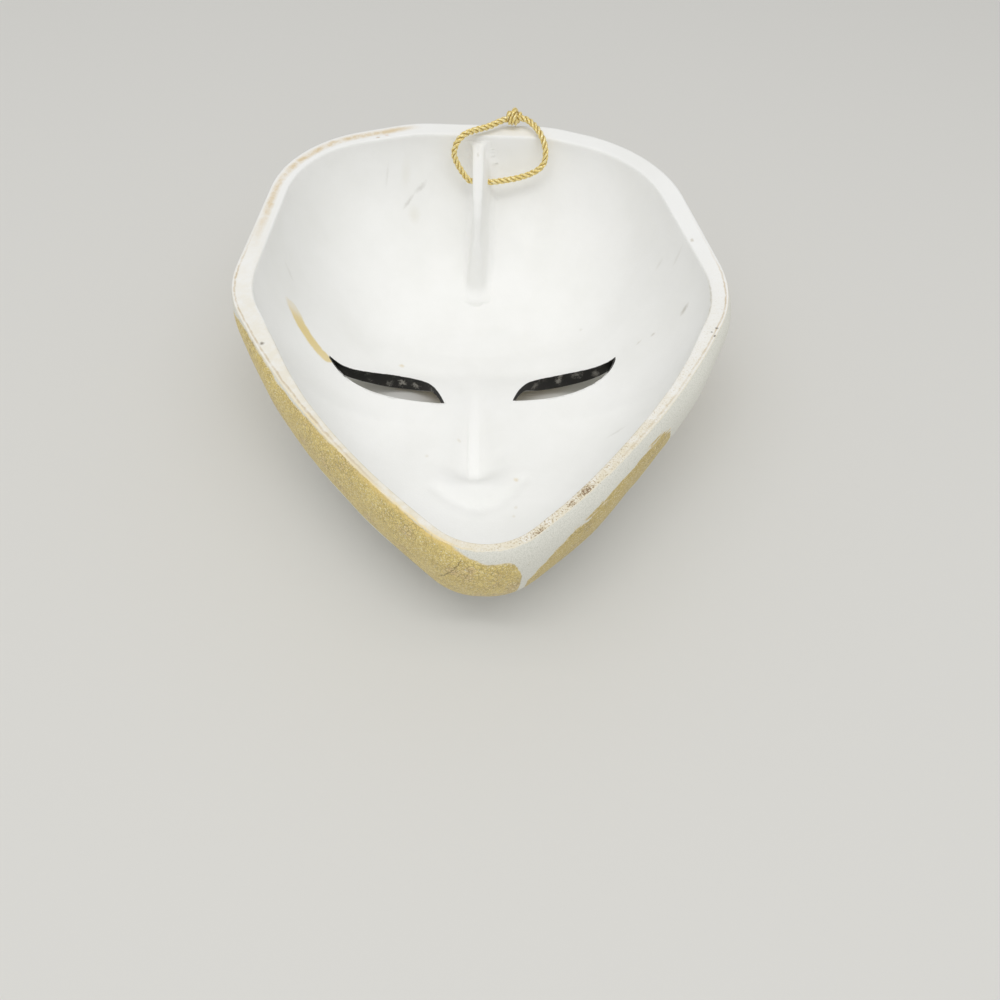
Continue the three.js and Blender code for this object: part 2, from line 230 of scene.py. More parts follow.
# Metallic yarn, drawn plastic film slit into filaments and twisted: painted glints, pale specks of
# a noise in stripes along the filaments, and painted shade, a dull brown gold, in the grooves
# between the yarns
def metallicYarn():
    material, tree, shader = newMaterial("metallic_yarn_twisted")
    uv = addNode(tree, "UVMap", uv_map="yarn")
    # filaments lean across the yarn: u in mm along it, v once round it
    lean = addNode(tree, "Mapping", {
        "Vector": uv, "Rotation": (0, 0, math.radians(cord["filamentLean"])),
        "Scale": (1.0, 2.6, 1.0)})
    filament = addNode(tree, "TexWave", {
        "Vector": lean, "Scale": 1 / cord["filamentPitch"] / 6.28, "Distortion": 1.2,
        "Detail": 2, "Detail Scale": 2.5}, bands_direction="Y")
    place = addNode(tree, "TexCoord", output="Object")
    # painted glints: a fine noise turns the gold pale in specks
    glint = addNode(tree, "TexNoise", {
        "Vector": place, "Scale": 1 / 0.0005, "Detail": 3, "Roughness": 0.75})
    ramp = addNode(tree, "ValToRGB", {0: glint})
    steps = ramp.node.color_ramp.elements
    steps[0].position, steps[0].color = 0.40, toLinear("#c9a64a")
    steps[1].position, steps[1].color = 0.58, toLinear("#ffffe8")
    middle = steps.new(0.5)
    middle.color = toLinear("#ffec9c")
    shade = addNode(tree, "Mix", {
        0: filament, 6: toLinear("#efd682"), 7: ramp}, data_type="RGBA")
    # painted shade: where the crest is low, in the grooves between the yarns, the gold is darkened
    # to brown
    crest = addNode(tree, "Attribute", output="Fac", attribute_name="crest")
    groove = addNode(tree, "MapRange", {0: crest, 1: 0.92, 2: 0.6, 3: 0.0, 4: 0.75})
    shade = addNode(tree, "Mix", {0: groove, 6: shade, 7: toLinear("#a88740")}, data_type="RGBA")
    bump = addNode(tree, "Bump", {
        "Height": filament, "Strength": 0.5, "Distance": 0.00008})
    tree.links.new(shade, shader.inputs["Base Color"])
    tree.links.new(bump, shader.inputs["Normal"])
    shader.inputs["Metallic"].default_value = 0.3
    shader.inputs["Roughness"].default_value = 0.36
    return material


yarnMaterial = metallicYarn()
cordLine, cordLength = smoothLine(
    cord["fromHole"] + [cord["knotCentre"]] + cord["toHole"], cord["step"])
cordPiece = laidCord("hanging_loop", cordLine, cord["diameter"] / 2 * cord["bedding"],
                     yarnMaterial)
knotPiece = laidCord("loop_knot", knotLine(), knot["tube"], yarnMaterial)
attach(cordPiece, "root")
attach(knotPiece, "root")
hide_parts("hanging_cord")
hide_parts("cord_knot")
print("cord laid,", round(cordLength, 1), "mm")


# Mask: outside and inside are depths below the rim over x and y
mask = {
    "rimLevel": 46.0, "wall": 3.2, "bowlCentre": (0.0, 62.0), "gridCentre": (-1.5, 41.0),
    # width of the flat rim, by degrees from the forehead and positive to the right
    "rimWidth": ([-180, -150, -135, -120, -110, -100, -90, -75, -55, -35, -15, 0, 20, 45, 60, 75,
                  90, 100, 112, 130, 145, 160, 180],
                 [2.3, 2.3, 2.5, 2.9, 3.6, 4.6, 5.3, 5.5, 5.1, 5.3, 6.3, 6.7, 6.7, 6.4, 5.7, 5.0,
                  4.4, 3.7, 3.2, 3.0, 2.7, 2.3, 2.3]),
    "rimRounding": 0.5, "rimRoundingDepth": 2.5, "innerRounding": 0.45,
    "bulgeDepth": 4.0, "swellShare": (0.2, 0.9),
    "spokes": 345, "outerRings": 90, "rimRings": 13, "innerRings": 150, "ringCrowding": 0.9,
    # the rim's outline from the chin round by the right: corner x, y and arc radius
    "rimCorners": [(0, -5.5, 16.5), (39, 29.3, 210), (64.4, 76.5, 37.1), (53, 141.8, 40.4),
                   (20.5, 153.2, 27.9), (-20.9, 152.7, 31.6), (-56.8, 138.6, 35.6),
                   (-63, 73.4, 32), (-39, 29.3, 210)],
    # by degrees from the forehead: how squarely the wall turns outside and inside, how steeply it
    # meets the rim, and how far it stands out
    "fullness": {False: ([0, 50, 90, 130, 155, 180], [3, 2.8, 3, 7, 7, 6.2]),
                 True: ([0, 50, 90, 130, 155, 180], [3.3, 2.9, 3.4, 7, 7, 6.2])},
    "lean": ([0, 50, 85, 180], [0.57, 0.57, 0.5, 0.5]),
    "bulge": ([-180, -165, -150, -125, -108, -85, -60, 45, 62, 85, 105, 120, 135, 150, 168, 180],
              [2.1, 1.6, 1.6, 1.6, 2.2, 1.3, 0, 0, 2, 3.3, 3.3, 2.4, 2.1, 2.9, 2.8, 2.1]),
    "handWaves": 0.12,  # the hand-finished surface wanders by about a tenth of a millimetre
}
face = {
    "midline": -1.5, "chinDepth": 34.5, "cheek": (2.5, 5, 60), "forehead": (13.5, 62, 112),
    "tilt": (0.045, 72, 24),
    "nose": {"bridgeY": 76, "tipY": 48, "rootY": 84, "baseY": 40.5, "bridgeRise": 1.5,
             "tipRise": 7.9, "bridgeHalf": 4.2, "tipHalf": 8.6, "rootFade": 12, "baseFade": 6,
             "insideFade": 9, "growth": 1.1, "roundness": 2.2},
    # x, y, width, height, rise: brow, eye socket, cheek, round of the mouth, chin
    "reliefs": [(21, 86, 20, 5.5, 2.2), (25, 75, 17, 8, -2.6), (27, 54, 15, 12, 2),
                (0, 31, 17, 11, 3.6), (0, 13, 11, 9, 3.4)],
    # on the front only: nostril wing, upper lip, lower lip, line of the mouth, groove, upper lid
    "frontReliefs": [(6.4, 47, 3.6, 3.8, 2.6), (3.4, 34.8, 7, 2.6, 2.2), (0, 27.6, 9, 3, 2.8),
                     (0, 31.4, 12.5, 1.5, -1.8), (0, 39.4, 2.2, 3, -0.8), (25, 83, 16, 4.5, 2.4)],
    "insideSoftness": 0.75, "insideNarrowing": 1.6,
    # on the inside only: a channel along the nose, from x to x and y to y, and its edges' softness
    "channel": {"x": (-3.6, 1.1), "y": (44.6, 66.0), "soft": (0.5, 1.6, 1.2, 5.0), "sink": 0.45},
    # soft grooves and ridges along lines of x, y: half width and how deep
    "grooves": [([(-11.4, 39.6), (-8.8, 37.5), (-6.2, 35.9), (-3.2, 34.6), (-0.1, 34.0),
                  (3.0, 34.9), (5.5, 36.5), (8.1, 39.1), (10.8, 42.9)], 1.9, 0.75),
                ([(4.2, 52.2), (5.6, 52.8)], 1.7, 0.35),
                ([(-0.6, 57.4), (1.4, 55.9), (3.2, 53.5)], 0.9, -0.12)],
}
slit = {
    # inner corner and the two pulls of the lower curve, outer tip and those of the upper curve
    -1: [(8.7, 69.5), (28.7, 70.1), (35.4, 72.1), (41.1, 82.2), (30.8, 73.8), (18.1, 97.2)],
    1: [(10.7, 70.2), (26.2, 69.1), (36.9, 72.2), (40.3, 85.0), (31.1, 79.3), (18.2, 91.4)],
    "steps": 44, "lipRadius": 0.55,
}
lug = {
    # free edge from the rim down to the bowl: y, depth below the rim
    "edge": [(145.6, 1.6), (143.6, 2.8), (140.6, 4.8), (134, 7.4), (129, 10.4), (125.8, 14.5),
             (123.9, 20), (122.4, 27), (120.8, 34), (119.4, 40), (118.4, 44)],
    "half": ([1.6, 6, 12, 21, 26, 32, 40], [1.7, 1.5, 1.3, 1.0, 1.7, 2.4, 2.5]),  # by depth
    # a dimple on the free edge: its depth below the rim, half length, half width and how deep
    "dimple": (3.3, 0.9, 0.7, 0.7),
    "taper": 0.1, "lean": 0.1, "fillet": 2.4, "footInWall": 1.6, "leastSpan": 3.0,
    "levels": 110, "sidePoints": 28,
    "holeY": 139.3, "holeDepth": 10.8, "holeRadius": 1.7, "holeLip": 0.45,
}


def bearingOf(x, y):  # degrees from the forehead round the bowl's centre, positive to the right
    return np.degrees(np.arctan2(x - mask["bowlCentre"][0], y - mask["bowlCentre"][1]))


# The rim's outline: arcs at its corners joined by straight stretches, moved inwards by the rim's
# width inside, and by its rounding outside
def rimOutline(inside):
    corners = np.array(mask["rimCorners"], float)
    here, radius = corners[:, :2], corners[:, 2]
    back = np.roll(here, 1, axis=0) - here
    onward = np.roll(here, -1, axis=0) - here
    back /= np.linalg.norm(back, axis=1)[:, None]
    onward /= np.linalg.norm(onward, axis=1)[:, None]
    middle = (back + onward) / np.linalg.norm(back + onward, axis=1)[:, None]
    halfAngle = np.arccos((back * onward).sum(1)) / 2
    centre = here + middle * (radius / np.sin(halfAngle))[:, None]
    outward = np.arctan2(-middle[:, 1], -middle[:, 0])
    angle = outward[:, None] + (np.pi / 2 - halfAngle)[:, None] * np.linspace(-1, 1, 61)
    towards = np.stack([np.cos(angle), np.sin(angle)], -1)
    arcs = (centre[:, None] + radius[:, None, None] * towards).reshape(-1, 2)
    inset = np.interp(bearingOf(*arcs.T), *mask["rimWidth"]) if inside else mask["rimRounding"]
    return arcs - np.reshape(inset, (-1, 1)) * towards.reshape(-1, 2)


def evenly(points, count):  # a closed outline cut again at equal steps of its length
    ring = np.vstack([points, points[:1]])
    length = np.concatenate([[0], np.cumsum(np.linalg.norm(np.diff(ring, axis=0), axis=1))])
    at = np.linspace(0, length[-1], count, endpoint=False)
    return np.stack([np.interp(at, length, ring[:, i]) for i in range(2)], -1)


def outlineReach(inside, centre):  # the outline's distance from a centre, as a function of angle
    points = evenly(rimOutline(inside), 8000) - centre
    angles = np.arctan2(points[:, 1], points[:, 0])
    order = np.argsort(angles)
    reach = np.hypot(points[:, 0], points[:, 1])[order]
    return lambda angle: np.interp(angle, angles[order], reach, period=2 * np.pi)


reachOutside = outlineReach(False, mask["bowlCentre"])
reachInside = outlineReach(True, mask["bowlCentre"])


# Distance from points to a line of points, and the share of the way along it
def nearLine(px, py, line):
    line = np.asarray(line, float)
    start, side = line[:-1, :2], np.diff(line[:, :2], axis=0)
    away = np.stack([px, py], -1)[:, None] - start[None]
    along = np.clip((away * side).sum(-1) / (side ** 2).sum(-1), 0, 1)
    gap = np.linalg.norm(away - along[..., None] * side, axis=-1)
    nearest = gap.argmin(1)
    rows = np.arange(len(px))
    return gap[rows, nearest], nearest + along[rows, nearest]


# Depth of the face: plain levels, plus a ridge for the nose, plus mounds whose height falls off
# as exp(-u^2 - v^2) either side of the midline
def faceDepth(x, y, inside):
    across = np.abs(x - face["midline"])
    nose = face["nose"]
    down = np.clip((nose["bridgeY"] - y) / (nose["bridgeY"] - nose["tipY"]), 0, 1)
    fade = nose["insideFade" if inside else "baseFade"]
    ends = (smoothStep(nose["rootY"], nose["rootY"] - nose["rootFade"], y)
            * smoothStep(nose["baseY"], nose["baseY"] + fade, y))
    narrowing = face["insideNarrowing"] if inside else 0
    half = nose["bridgeHalf"] + (nose["tipHalf"] - nose["bridgeHalf"]) * down - narrowing
    relief = ((nose["bridgeRise"] + nose["tipRise"] * down ** nose["growth"]) * ends
              * np.exp(-(across / half) ** nose["roundness"]))
    shapes = face["reliefs"] + ([] if inside else face["frontReliefs"])
    for centreX, centreY, width, height, rise in shapes:
        relief = relief + rise * np.exp(
            -((across - centreX) / width) ** 2 - ((y - centreY) / height) ** 2)
    cheekGain, cheekFrom, cheekTo = face["cheek"]
    headGain, headFrom, headTo = face["forehead"]
    slope, tiltY, tiltReach = face["tilt"]
    plain = (face["chinDepth"] + cheekGain * smoothStep(cheekFrom, cheekTo, y)
             + headGain * smoothStep(headFrom, headTo, y)
             - slope * (x - face["midline"]) * np.exp(-((y - tiltY) / tiltReach) ** 2))
    if not inside:
        return plain + relief
    channel = face["channel"]
    lowX, highX, lowY, highY = channel["x"] + channel["y"]
    softLeft, softRight, softLow, softHigh = channel["soft"]
    own = channel["sink"] * (
        smoothStep(lowX, lowX + softLeft, x) * smoothStep(highX, highX - softRight, x)
        * smoothStep(lowY, lowY + softLow, y) * smoothStep(highY, highY - softHigh, y))
    for line, width, sink in face["grooves"]:
        gap = nearLine(np.ravel(x), np.ravel(y), line)[0].reshape(np.shape(x))
        own = own + sink * np.exp(-(gap / width) ** 2)
    return plain + relief * face["insideSoftness"] + own - mask["wall"]


def handWaves(x, y, z):  # slow wanderings of a hand-finished surface, sums of sines, mm
    return mask["handWaves"] * (
        np.sin(x / 7.3 + 1.3 * np.sin(y / 11.0)) * np.sin(y / 8.1 + z / 9.0)
        + 0.6 * np.sin(x / 3.9 - y / 5.3 + z / 4.1))


# Depth of one side of the wall below the rim: the face's depth times (1 - share^fullness)^lean,
# where share is how far out towards the outline the point lies
def sideDepth(x, y, inside):
    dx, dy = x - mask["bowlCentre"][0], y - mask["bowlCentre"][1]
    reach = (reachInside if inside else reachOutside)(np.arctan2(dy, dx))
    share = np.clip(np.hypot(dx, dy) / reach, 0, 1)
    bearing = bearingOf(x, y)
    turned = np.abs(bearing)
    edge = (1 - share ** np.interp(turned, *mask["fullness"][inside])) ** np.interp(
        turned, *mask["lean"])
    deepest = mask["rimLevel"] - (mask["wall"] if inside else 0)
    return np.minimum(faceDepth(x, y, inside) * edge, deepest), share, bearing


# A point of the wall: the outside swells below the rim, the inside eases out into the rim
def sidePoints(x, y, inside):
    depth, share, bearing = sideDepth(x, y, inside)
    if inside:
        out = mask["innerRounding"] * np.exp(-depth / mask["innerRounding"] * 2.2)
        out = out * smoothStep(0.5, 0.95, share)
    else:
        bulge = np.interp(bearing, *mask["bulge"]) * (1 - np.exp(-depth / mask["bulgeDepth"]))
        edge = mask["rimRounding"] * (1 - np.exp(-depth / mask["rimRoundingDepth"]))
        out = smoothStep(*mask["swellShare"], share) * (bulge + edge)
    turn = np.radians(bearing)
    px, py = x + out * np.sin(turn), y + out * np.cos(turn)
    pz = mask["rimLevel"] - depth
    waves = handWaves(px, py, pz) * smoothStep(0, 3, depth) * smoothStep(0, 3, pz - 0.3)
    pz = pz + waves * smoothStep(1.0, 0.6, share)
    px = px + waves * np.sin(turn) * smoothStep(0.6, 1.0, share)
    py = py + waves * np.cos(turn) * smoothStep(0.6, 1.0, share)
    return np.stack([px, py, pz], -1)


# Shell: spokes fan out from under the nose; rings run out over the outside, across the flat rim
# and back in over the inside, crowded towards the rim as sin(s)^0.9
def shellGrid():
    spokes = evenly(rimOutline(False), mask["spokes"])
    angle = np.arctan2(spokes[:, 1] - mask["gridCentre"][1], spokes[:, 0] - mask["gridCentre"][0])
    rings = []
    for inside, count in ((False, mask["outerRings"]), (True, mask["innerRings"])):
        reach = outlineReach(inside, mask["gridCentre"])(angle)
        k = np.concatenate([np.arange(1, count), [count - 0.55, count - 0.25, count]])
        t = np.sin(k / count * np.pi / 2) ** mask["ringCrowding"]
        x = mask["gridCentre"][0] + t[:, None] * (reach * np.cos(angle))
        y = mask["gridCentre"][1] + t[:, None] * (reach * np.sin(angle))
        rings.append(sidePoints(x, y, inside))
    outer, inner = rings
    s = np.linspace(0, 1, mask["rimRings"])[1:-1, None, None]
    rim = outer[-1] * (1 - s) + inner[-1] * s
    # the rim was ground flat by hand: it wanders by a tenth of a millimetre and never rises
    wander = 0.07 * (1 + np.sin(rim[..., 0] / 6.1 + np.cos(rim[..., 1] / 8.3) * 2))
    rim[..., 2] -= wander * np.sin(np.pi * s[..., 0]) ** 0.5
    return np.concatenate([outer, rim, inner[::-1]]), len(outer)


def shellPiece(materials):
    grid, outerCount = shellGrid()
    rows, columns = grid.shape[:2]
    centreX, centreY = (np.array([v]) for v in mask["gridCentre"])
    poles = [sidePoints(centreX, centreY, inside)[0] for inside in (False, True)]
    points = np.vstack([grid.reshape(-1, 3), poles])
    quads = gridFaces(rows, columns, True)
    column = np.arange(columns)
    onward = (column + 1) % columns
    last = (rows - 1) * columns
    firstFan = np.stack([np.full(columns, rows * columns), onward, column], -1)
    lastFan = np.stack([np.full(columns, rows * columns + 1), last + column, last + onward], -1)
    piece = meshObject("mask_wall", points, quads.tolist() + firstFan.tolist() + lastFan.tolist(),
                       materials[0])
    # faces outside the rim take the outside's paint
    painted = np.zeros(len(quads) + 2 * columns, np.int32)
    painted[:(outerCount - 1) * columns] = 1
    painted[len(quads):len(quads) + columns] = 1
    for material in materials[1:]:
        piece.data.materials.append(material)
    piece.data.polygons.foreach_set("material_index", painted)
    return piece


# The slit's outline: two cubic curves from the inner corner to the outer tip and back
def slitOutline(side):
    t = np.linspace(0, 1, slit["steps"], endpoint=False)[:, None]
    ends = np.array(slit[side] + slit[side][:1], float)
    outline = np.vstack([
        (1 - t) ** 3 * a + 3 * (1 - t) ** 2 * t * b + 3 * (1 - t) * t ** 2 * c + t ** 3 * d
        for a, b, c, d in (ends[:4], ends[3:])])
    outline[:, 0] = face["midline"] + side * outline[:, 0]
    return outline if side > 0 else outline[::-1]


# The rounded lip where a cut meets a surface: a quarter circle, r - sqrt(r^2 - (r - g)^2) at g
# below the surface
def lip(gap, radius):
    inward = np.clip(radius - gap, 0, radius)
    return radius - np.sqrt(radius ** 2 - inward ** 2)


# Slit cutter: the outline carried down through the wall, opened by a lip at both surfaces
def slitCutter(side, material):
    outline = slitOutline(side)
    tangent = np.roll(outline, -1, axis=0) - np.roll(outline, 1, axis=0)
    tangent /= np.linalg.norm(tangent, axis=1)[:, None]
    normal = np.stack([tangent[:, 1], -tangent[:, 0]], -1)
    inner = sideDepth(outline[:, 0], outline[:, 1], True)[0]
    outer = sideDepth(outline[:, 0], outline[:, 1], False)[0]
    radius = slit["lipRadius"]
    curve = radius * (1 - np.cos(np.linspace(0, np.pi / 2, 7)))
    gaps = np.concatenate([[-1.5], curve])
    topDepth = inner[None] + gaps[:, None]
    lowDepth = outer[None] - gaps[::-1, None]
    openings = lip(np.maximum(gaps, 0), radius)
    depths = np.vstack([np.full((1, len(outline)), -5.0), topDepth, lowDepth,
                        np.full((1, len(outline)), mask["rimLevel"] + 5)])
    opening = np.concatenate([[radius], openings, openings[::-1], [radius]])
    xy = outline[None] + opening[:, None, None] * normal[None]
    sections = np.concatenate([xy, mask["rimLevel"] - depths[..., None]], -1)
    return tubeObject("slit_cutter", sections, material)


# Lug: level sections of a thin web near the midline plane. Its half thickness is rounded off at
# the free edge, grows towards the root and opens in a quarter circle where it nears the wall or
# the bowl
def lugPiece(material):
    edgeY, edgeDepth = np.array(lug["edge"], float).T
    depth = edgeDepth[0] + (edgeDepth[-1] - edgeDepth[0]) * np.linspace(0, 1, lug["levels"]) ** 1.4
    fine = np.linspace(edgeDepth[0], edgeDepth[-1], 800)
    free = np.interp(fine, edgeDepth, edgeY)
    kernel = np.exp(-np.linspace(-2.5, 2.5, 61) ** 2)
    free = np.convolve(np.pad(free, 30, mode="reflect", reflect_type="odd"), kernel / kernel.sum(),
                       mode="valid")
    free = np.interp(depth, fine, free)
    top = mask["bowlCentre"][1] + reachInside(np.pi / 2) - 0.01
    profileY = np.linspace(mask["bowlCentre"][1], top, 1500)
    profile = sideDepth(np.full_like(profileY, face["midline"]), profileY, True)[0]
    slope = np.gradient(profile, profileY)
    wallY = np.interp(-depth, -profile, profileY)
    foot = np.maximum(wallY + lug["footInWall"], free + lug["leastSpan"])
    half = np.interp(depth, *lug["half"])

    def gapAt(y, level):  # distance from the ceramic, measured square to its surface
        return ((np.interp(y, profileY, profile) - level)
                / np.sqrt(1 + np.interp(y, profileY, slope) ** 2))

    def filletAt(y, level):
        return lip(np.maximum(gapAt(y, level), 0), lug["fillet"])
    edge = free - filletAt(free, depth)
    u = np.linspace(0, 1, lug["sidePoints"]) ** 1.6
    y = edge[:, None] + u * (foot - edge)[:, None]
    rounding = np.minimum((y - edge[:, None]) / np.minimum(half, 0.35 * (foot - edge))[:, None], 1)
    width = half[:, None] * np.sqrt(1 - (1 - rounding) ** 2) + filletAt(y, depth[:, None]) * (
        smoothStep(0, 1, rounding))
    back = y - edge[:, None]
    dimpleDepth, dimpleLength, dimpleWidth, dimpleSink = lug["dimple"]
    y = y + dimpleSink * np.exp(
        -((depth[:, None] - dimpleDepth) / dimpleLength) ** 2 - (width / dimpleWidth) ** 2)
    level = np.broadcast_to(mask["rimLevel"] - depth[:, None], y.shape)
    right, left = (np.stack([
        face["midline"] + lug["lean"] * back + side * (width + lug["taper"] * back), y, level], -1)
        for side in (1, -1))
    return tubeObject("lug_web", np.concatenate([right, left[:, :0:-1]], 1), material)


# Hole cutter: a round bar along X that opens in a lip at each face of the web
def holeCutter(material):
    edgeY, edgeDepth = np.array(lug["edge"], float).T
    back = lug["holeY"] - np.interp(lug["holeDepth"], edgeDepth, edgeY)
    half = np.interp(lug["holeDepth"], *lug["half"]) + lug["taper"] * back
    radius = lug["holeLip"]
    curve = radius * (1 - np.cos(np.linspace(0, np.pi / 2, 6)))
    x = np.concatenate([[-7, -half], -half + curve[1:], half - curve[:0:-1], [half, 7]])
    opening = lug["holeRadius"] + lip(np.maximum(half - np.abs(x), 0), radius)
    angle = np.linspace(0, 2 * np.pi, 48, endpoint=False)
    across = face["midline"] + lug["lean"] * back + x[:, None]
    sections = np.stack([
        np.broadcast_to(across, (len(x), len(angle))),
        lug["holeY"] + opening[:, None] * np.cos(angle),
        mask["rimLevel"] - lug["holeDepth"] + opening[:, None] * np.sin(angle)], -1)
    return tubeObject("hole_cutter", sections, material)


def joinShapes(piece, others):  # others: (object, operation); the last state is applied
    for other, operation in others:
        modifier = piece.modifiers.new(operation.lower(), "BOOLEAN")
        modifier.object = other
        modifier.operation = operation
        modifier.solver = "EXACT"
    depsgraph = bpy.context.evaluated_depsgraph_get()
    whole = bpy.data.meshes.new_from_object(piece.evaluated_get(depsgraph))
    piece.modifiers.clear()
    piece.data = whole
    for other, _ in others:
        bpy.data.objects.remove(other)
    return piece


# Finish of the cast body: measured marks, placed by bearing in degrees from the forehead
bisque = {
    "white": "#f4f4f2", "cloud": "#efefec",
    # size in metres, detail and roughness of each noise
    "noises": {"cloud": (0.025, 4, 0.6), "grain": (0.0005, 3, 0.6), "ragged": (0.0018, 5, 0.65),
               "fleck": (0.0004, 2, 0.6), "patches": (0.004, 4, 0.65)},
    "cloudLevels": (0.38, 0.72),  # noise levels between which the clouds deepen
    "bandWaver": 0.9,  # how far the edges of the bands on the rim wander in all, mm
    "bandPatches": (0.36, 0.56, 0.35),  # noise levels of their patches, and what is left between
    "markShift": 0.3, "markShiftSize": 0.9,  # how far and how finely the marks' edges wander, mm
    # strength and depth in metres of the bumps
    "grainBump": (0.35, 0.00006), "raggedBump": (0.3, 0.00012), "roughness": 0.78,
    "rimPaintDepth": 0.6,  # how far over the rim's edges its paint and dirt reach
    # paint and dirt on the ground rim, with a painted highlight and painted shade at its edges:
    # colour, edge it is measured from, where it starts and ends in mm from there, softness in mm,
    # then its strength by bearing
    "bands": [
        ("#e5dcc4", "innerInset", 0.1, 9, 0.4,
         [-180, -140, -125, -90, -60, -40, 60, 90, 125, 140, 180],
         [0.8, 0.9, 0.7, 0.45, 0.15, 0, 0, 0.2, 0.5, 0.9, 0.8]),
        ("#dcc8a4", "inset", 0.25, 2.3, 1.4, [-66, -58, -51, -17, -12], [0, 0.35, 1, 0.9, 0]),
        ("#c6b18c", "inset", 0.3, 0.75, 0.25,
         [-160, -150, -125, -110, -90, -75, -64, -57, 45, 62, 75, 90, 110, 140, 152],
         [0, 0.4, 0.8, 0.6, 0.7, 0.75, 0.3, 0, 0, 0.15, 0.8, 0.6, 0.4, 0.45, 0]),
        # painted highlight: yellow along the rim's outer edge on the left
        ("#f3dca4", "inset", -1, 0.1, 0.5, [-179, -172, -160, -150, -140, -127, -112, -102],
         [0, 1, 0.7, 0.4, 0.3, 0.6, 0.15, 0]),
        # painted shade: a grey line along the rim's inner edge
        ("#d3cfc1", "innerInset", -0.1, 0.3, 0.3, [-170, -160, -98, -90, 66, 74, 82, 90],
         [0, 0.7, 0.7, 0, 0, 0.8, 0.8, 0])],
    # tan flecks and then brown ones: colour, noise level where they start, strength
    "flecks": [("#d0c3a3", 0.60, 0.7), ("#ab9270", 0.71, 0.8), ("#77604a", 0.80, 0.85)],
    # where they crowd together: centre x, y, half length, half width, turn
    "crowds": [(20.8, 15.2, 3.0, 1.4, 42), (17.5, 11.8, 1.6, 0.7, 42), (10.8, 5.1, 2.2, 1.0, 38)],
    "fleckBearings": ([-180, -172, -150, 60, 100, 118, 150, 157, 162, 170, 176, 180],
                      [0.5, 0.2, 0, 0, 0.4, 0.4, 0.7, 1, 0.8, 0.9, 0.6, 0.5]),
    # stroke of thin gold wash beside the left eye: x, y, and how much paint is left there
    "stroke": "#e6d298", "strokeHalf": 1.45,
    "strokeLine": [(-51.7, 89.0, 0.35), (-50.9, 87.6, 0.9), (-49.4, 85.8, 1.0),
                   (-47.7, 84.1, 1.0), (-45.5, 82.0, 0.95), (-43.1, 80.3, 0.9)],
    # centre x, y, half length, half width, turn in degrees, strength, colour
    "marks": [(-19.2, 142.1, 2.6, 0.5, 28, 0.28, "#aaa69c"),
              (-22.9, 139.3, 2.8, 0.45, 42, 0.32, "#aaa69c"),
              (-21.2, 137.6, 2.4, 1.9, 30, 0.2, "#d9d3bf"),
              (-23.5, 142.7, 2.4, 1.4, 48, 0.14, "#d9d3bf"),
              (-29.1, 140.8, 1.9, 0.4, 66, 0.13, "#b5b1a6"),
              (35.7, 54.5, 2.8, 0.5, 14, 0.22, "#b0aca0"),
              # painted shade: a grey spot on the lug's dimple
              (-1.4, 142.4, 0.9, 0.55, 90, 0.4, "#c2beb2"),
              (-53.1, 97.5, 1.6, 0.5, -52, 0.14, "#b5b1a6"),
              (54.9, 85.1, 1.1, 0.8, 66, 0.45, "#a39b89"),
              (48.6, 86.2, 0.6, 0.6, 0, 0.4, "#b0a896"),
              (45.3, 86.5, 1.0, 0.5, 30, 0.3, "#b3ab98"),
              (50.9, 105.1, 0.8, 0.8, 0, 0.15, "#b9b3a4"),
              (53.7, 99.5, 0.7, 0.7, 0, 0.15, "#b9b3a4"),
              (31.6, 104.6, 0.7, 0.7, 0, 0.2, "#b9b3a4"),
              (-23.5, 89.8, 1.1, 0.9, 0, 0.5, "#d9c79a"), (9.3, 43.0, 0.9, 0.8, 0, 0.5, "#d9c79a"),
              (-14.2, 50.5, 0.7, 0.7, 0, 0.3, "#cfc6ae"), (-5.8, 57.8, 0.7, 0.7, 0, 0.3, "#cfc6ae"),
              (9.0, 34.1, 0.7, 0.7, 0, 0.3, "#cfc6ae"), (8.4, 31.3, 0.6, 0.6, 0, 0.3, "#cfc6ae"),
              (-50.9, 55.5, 0.7, 0.7, 0, 0.8, "#6e6352"), (56.5, 64.2, 0.5, 0.4, 0, 0.9, "#4d463c"),
              (55.5, 61.4, 0.6, 0.4, 60, 0.9, "#4d463c"), (55.0, 62.7, 0.4, 0.4, 0, 0.7, "#5a5246"),
              (56.0, 98.4, 1.1, 0.6, 70, 0.5, "#b4a78c"),
              (-31.2, 143.6, 0.9, 0.6, 20, 0.6, "#b79c74"),
              (-28.7, 144.9, 0.9, 0.7, 0, 0.5, "#dcbfa8")],
}
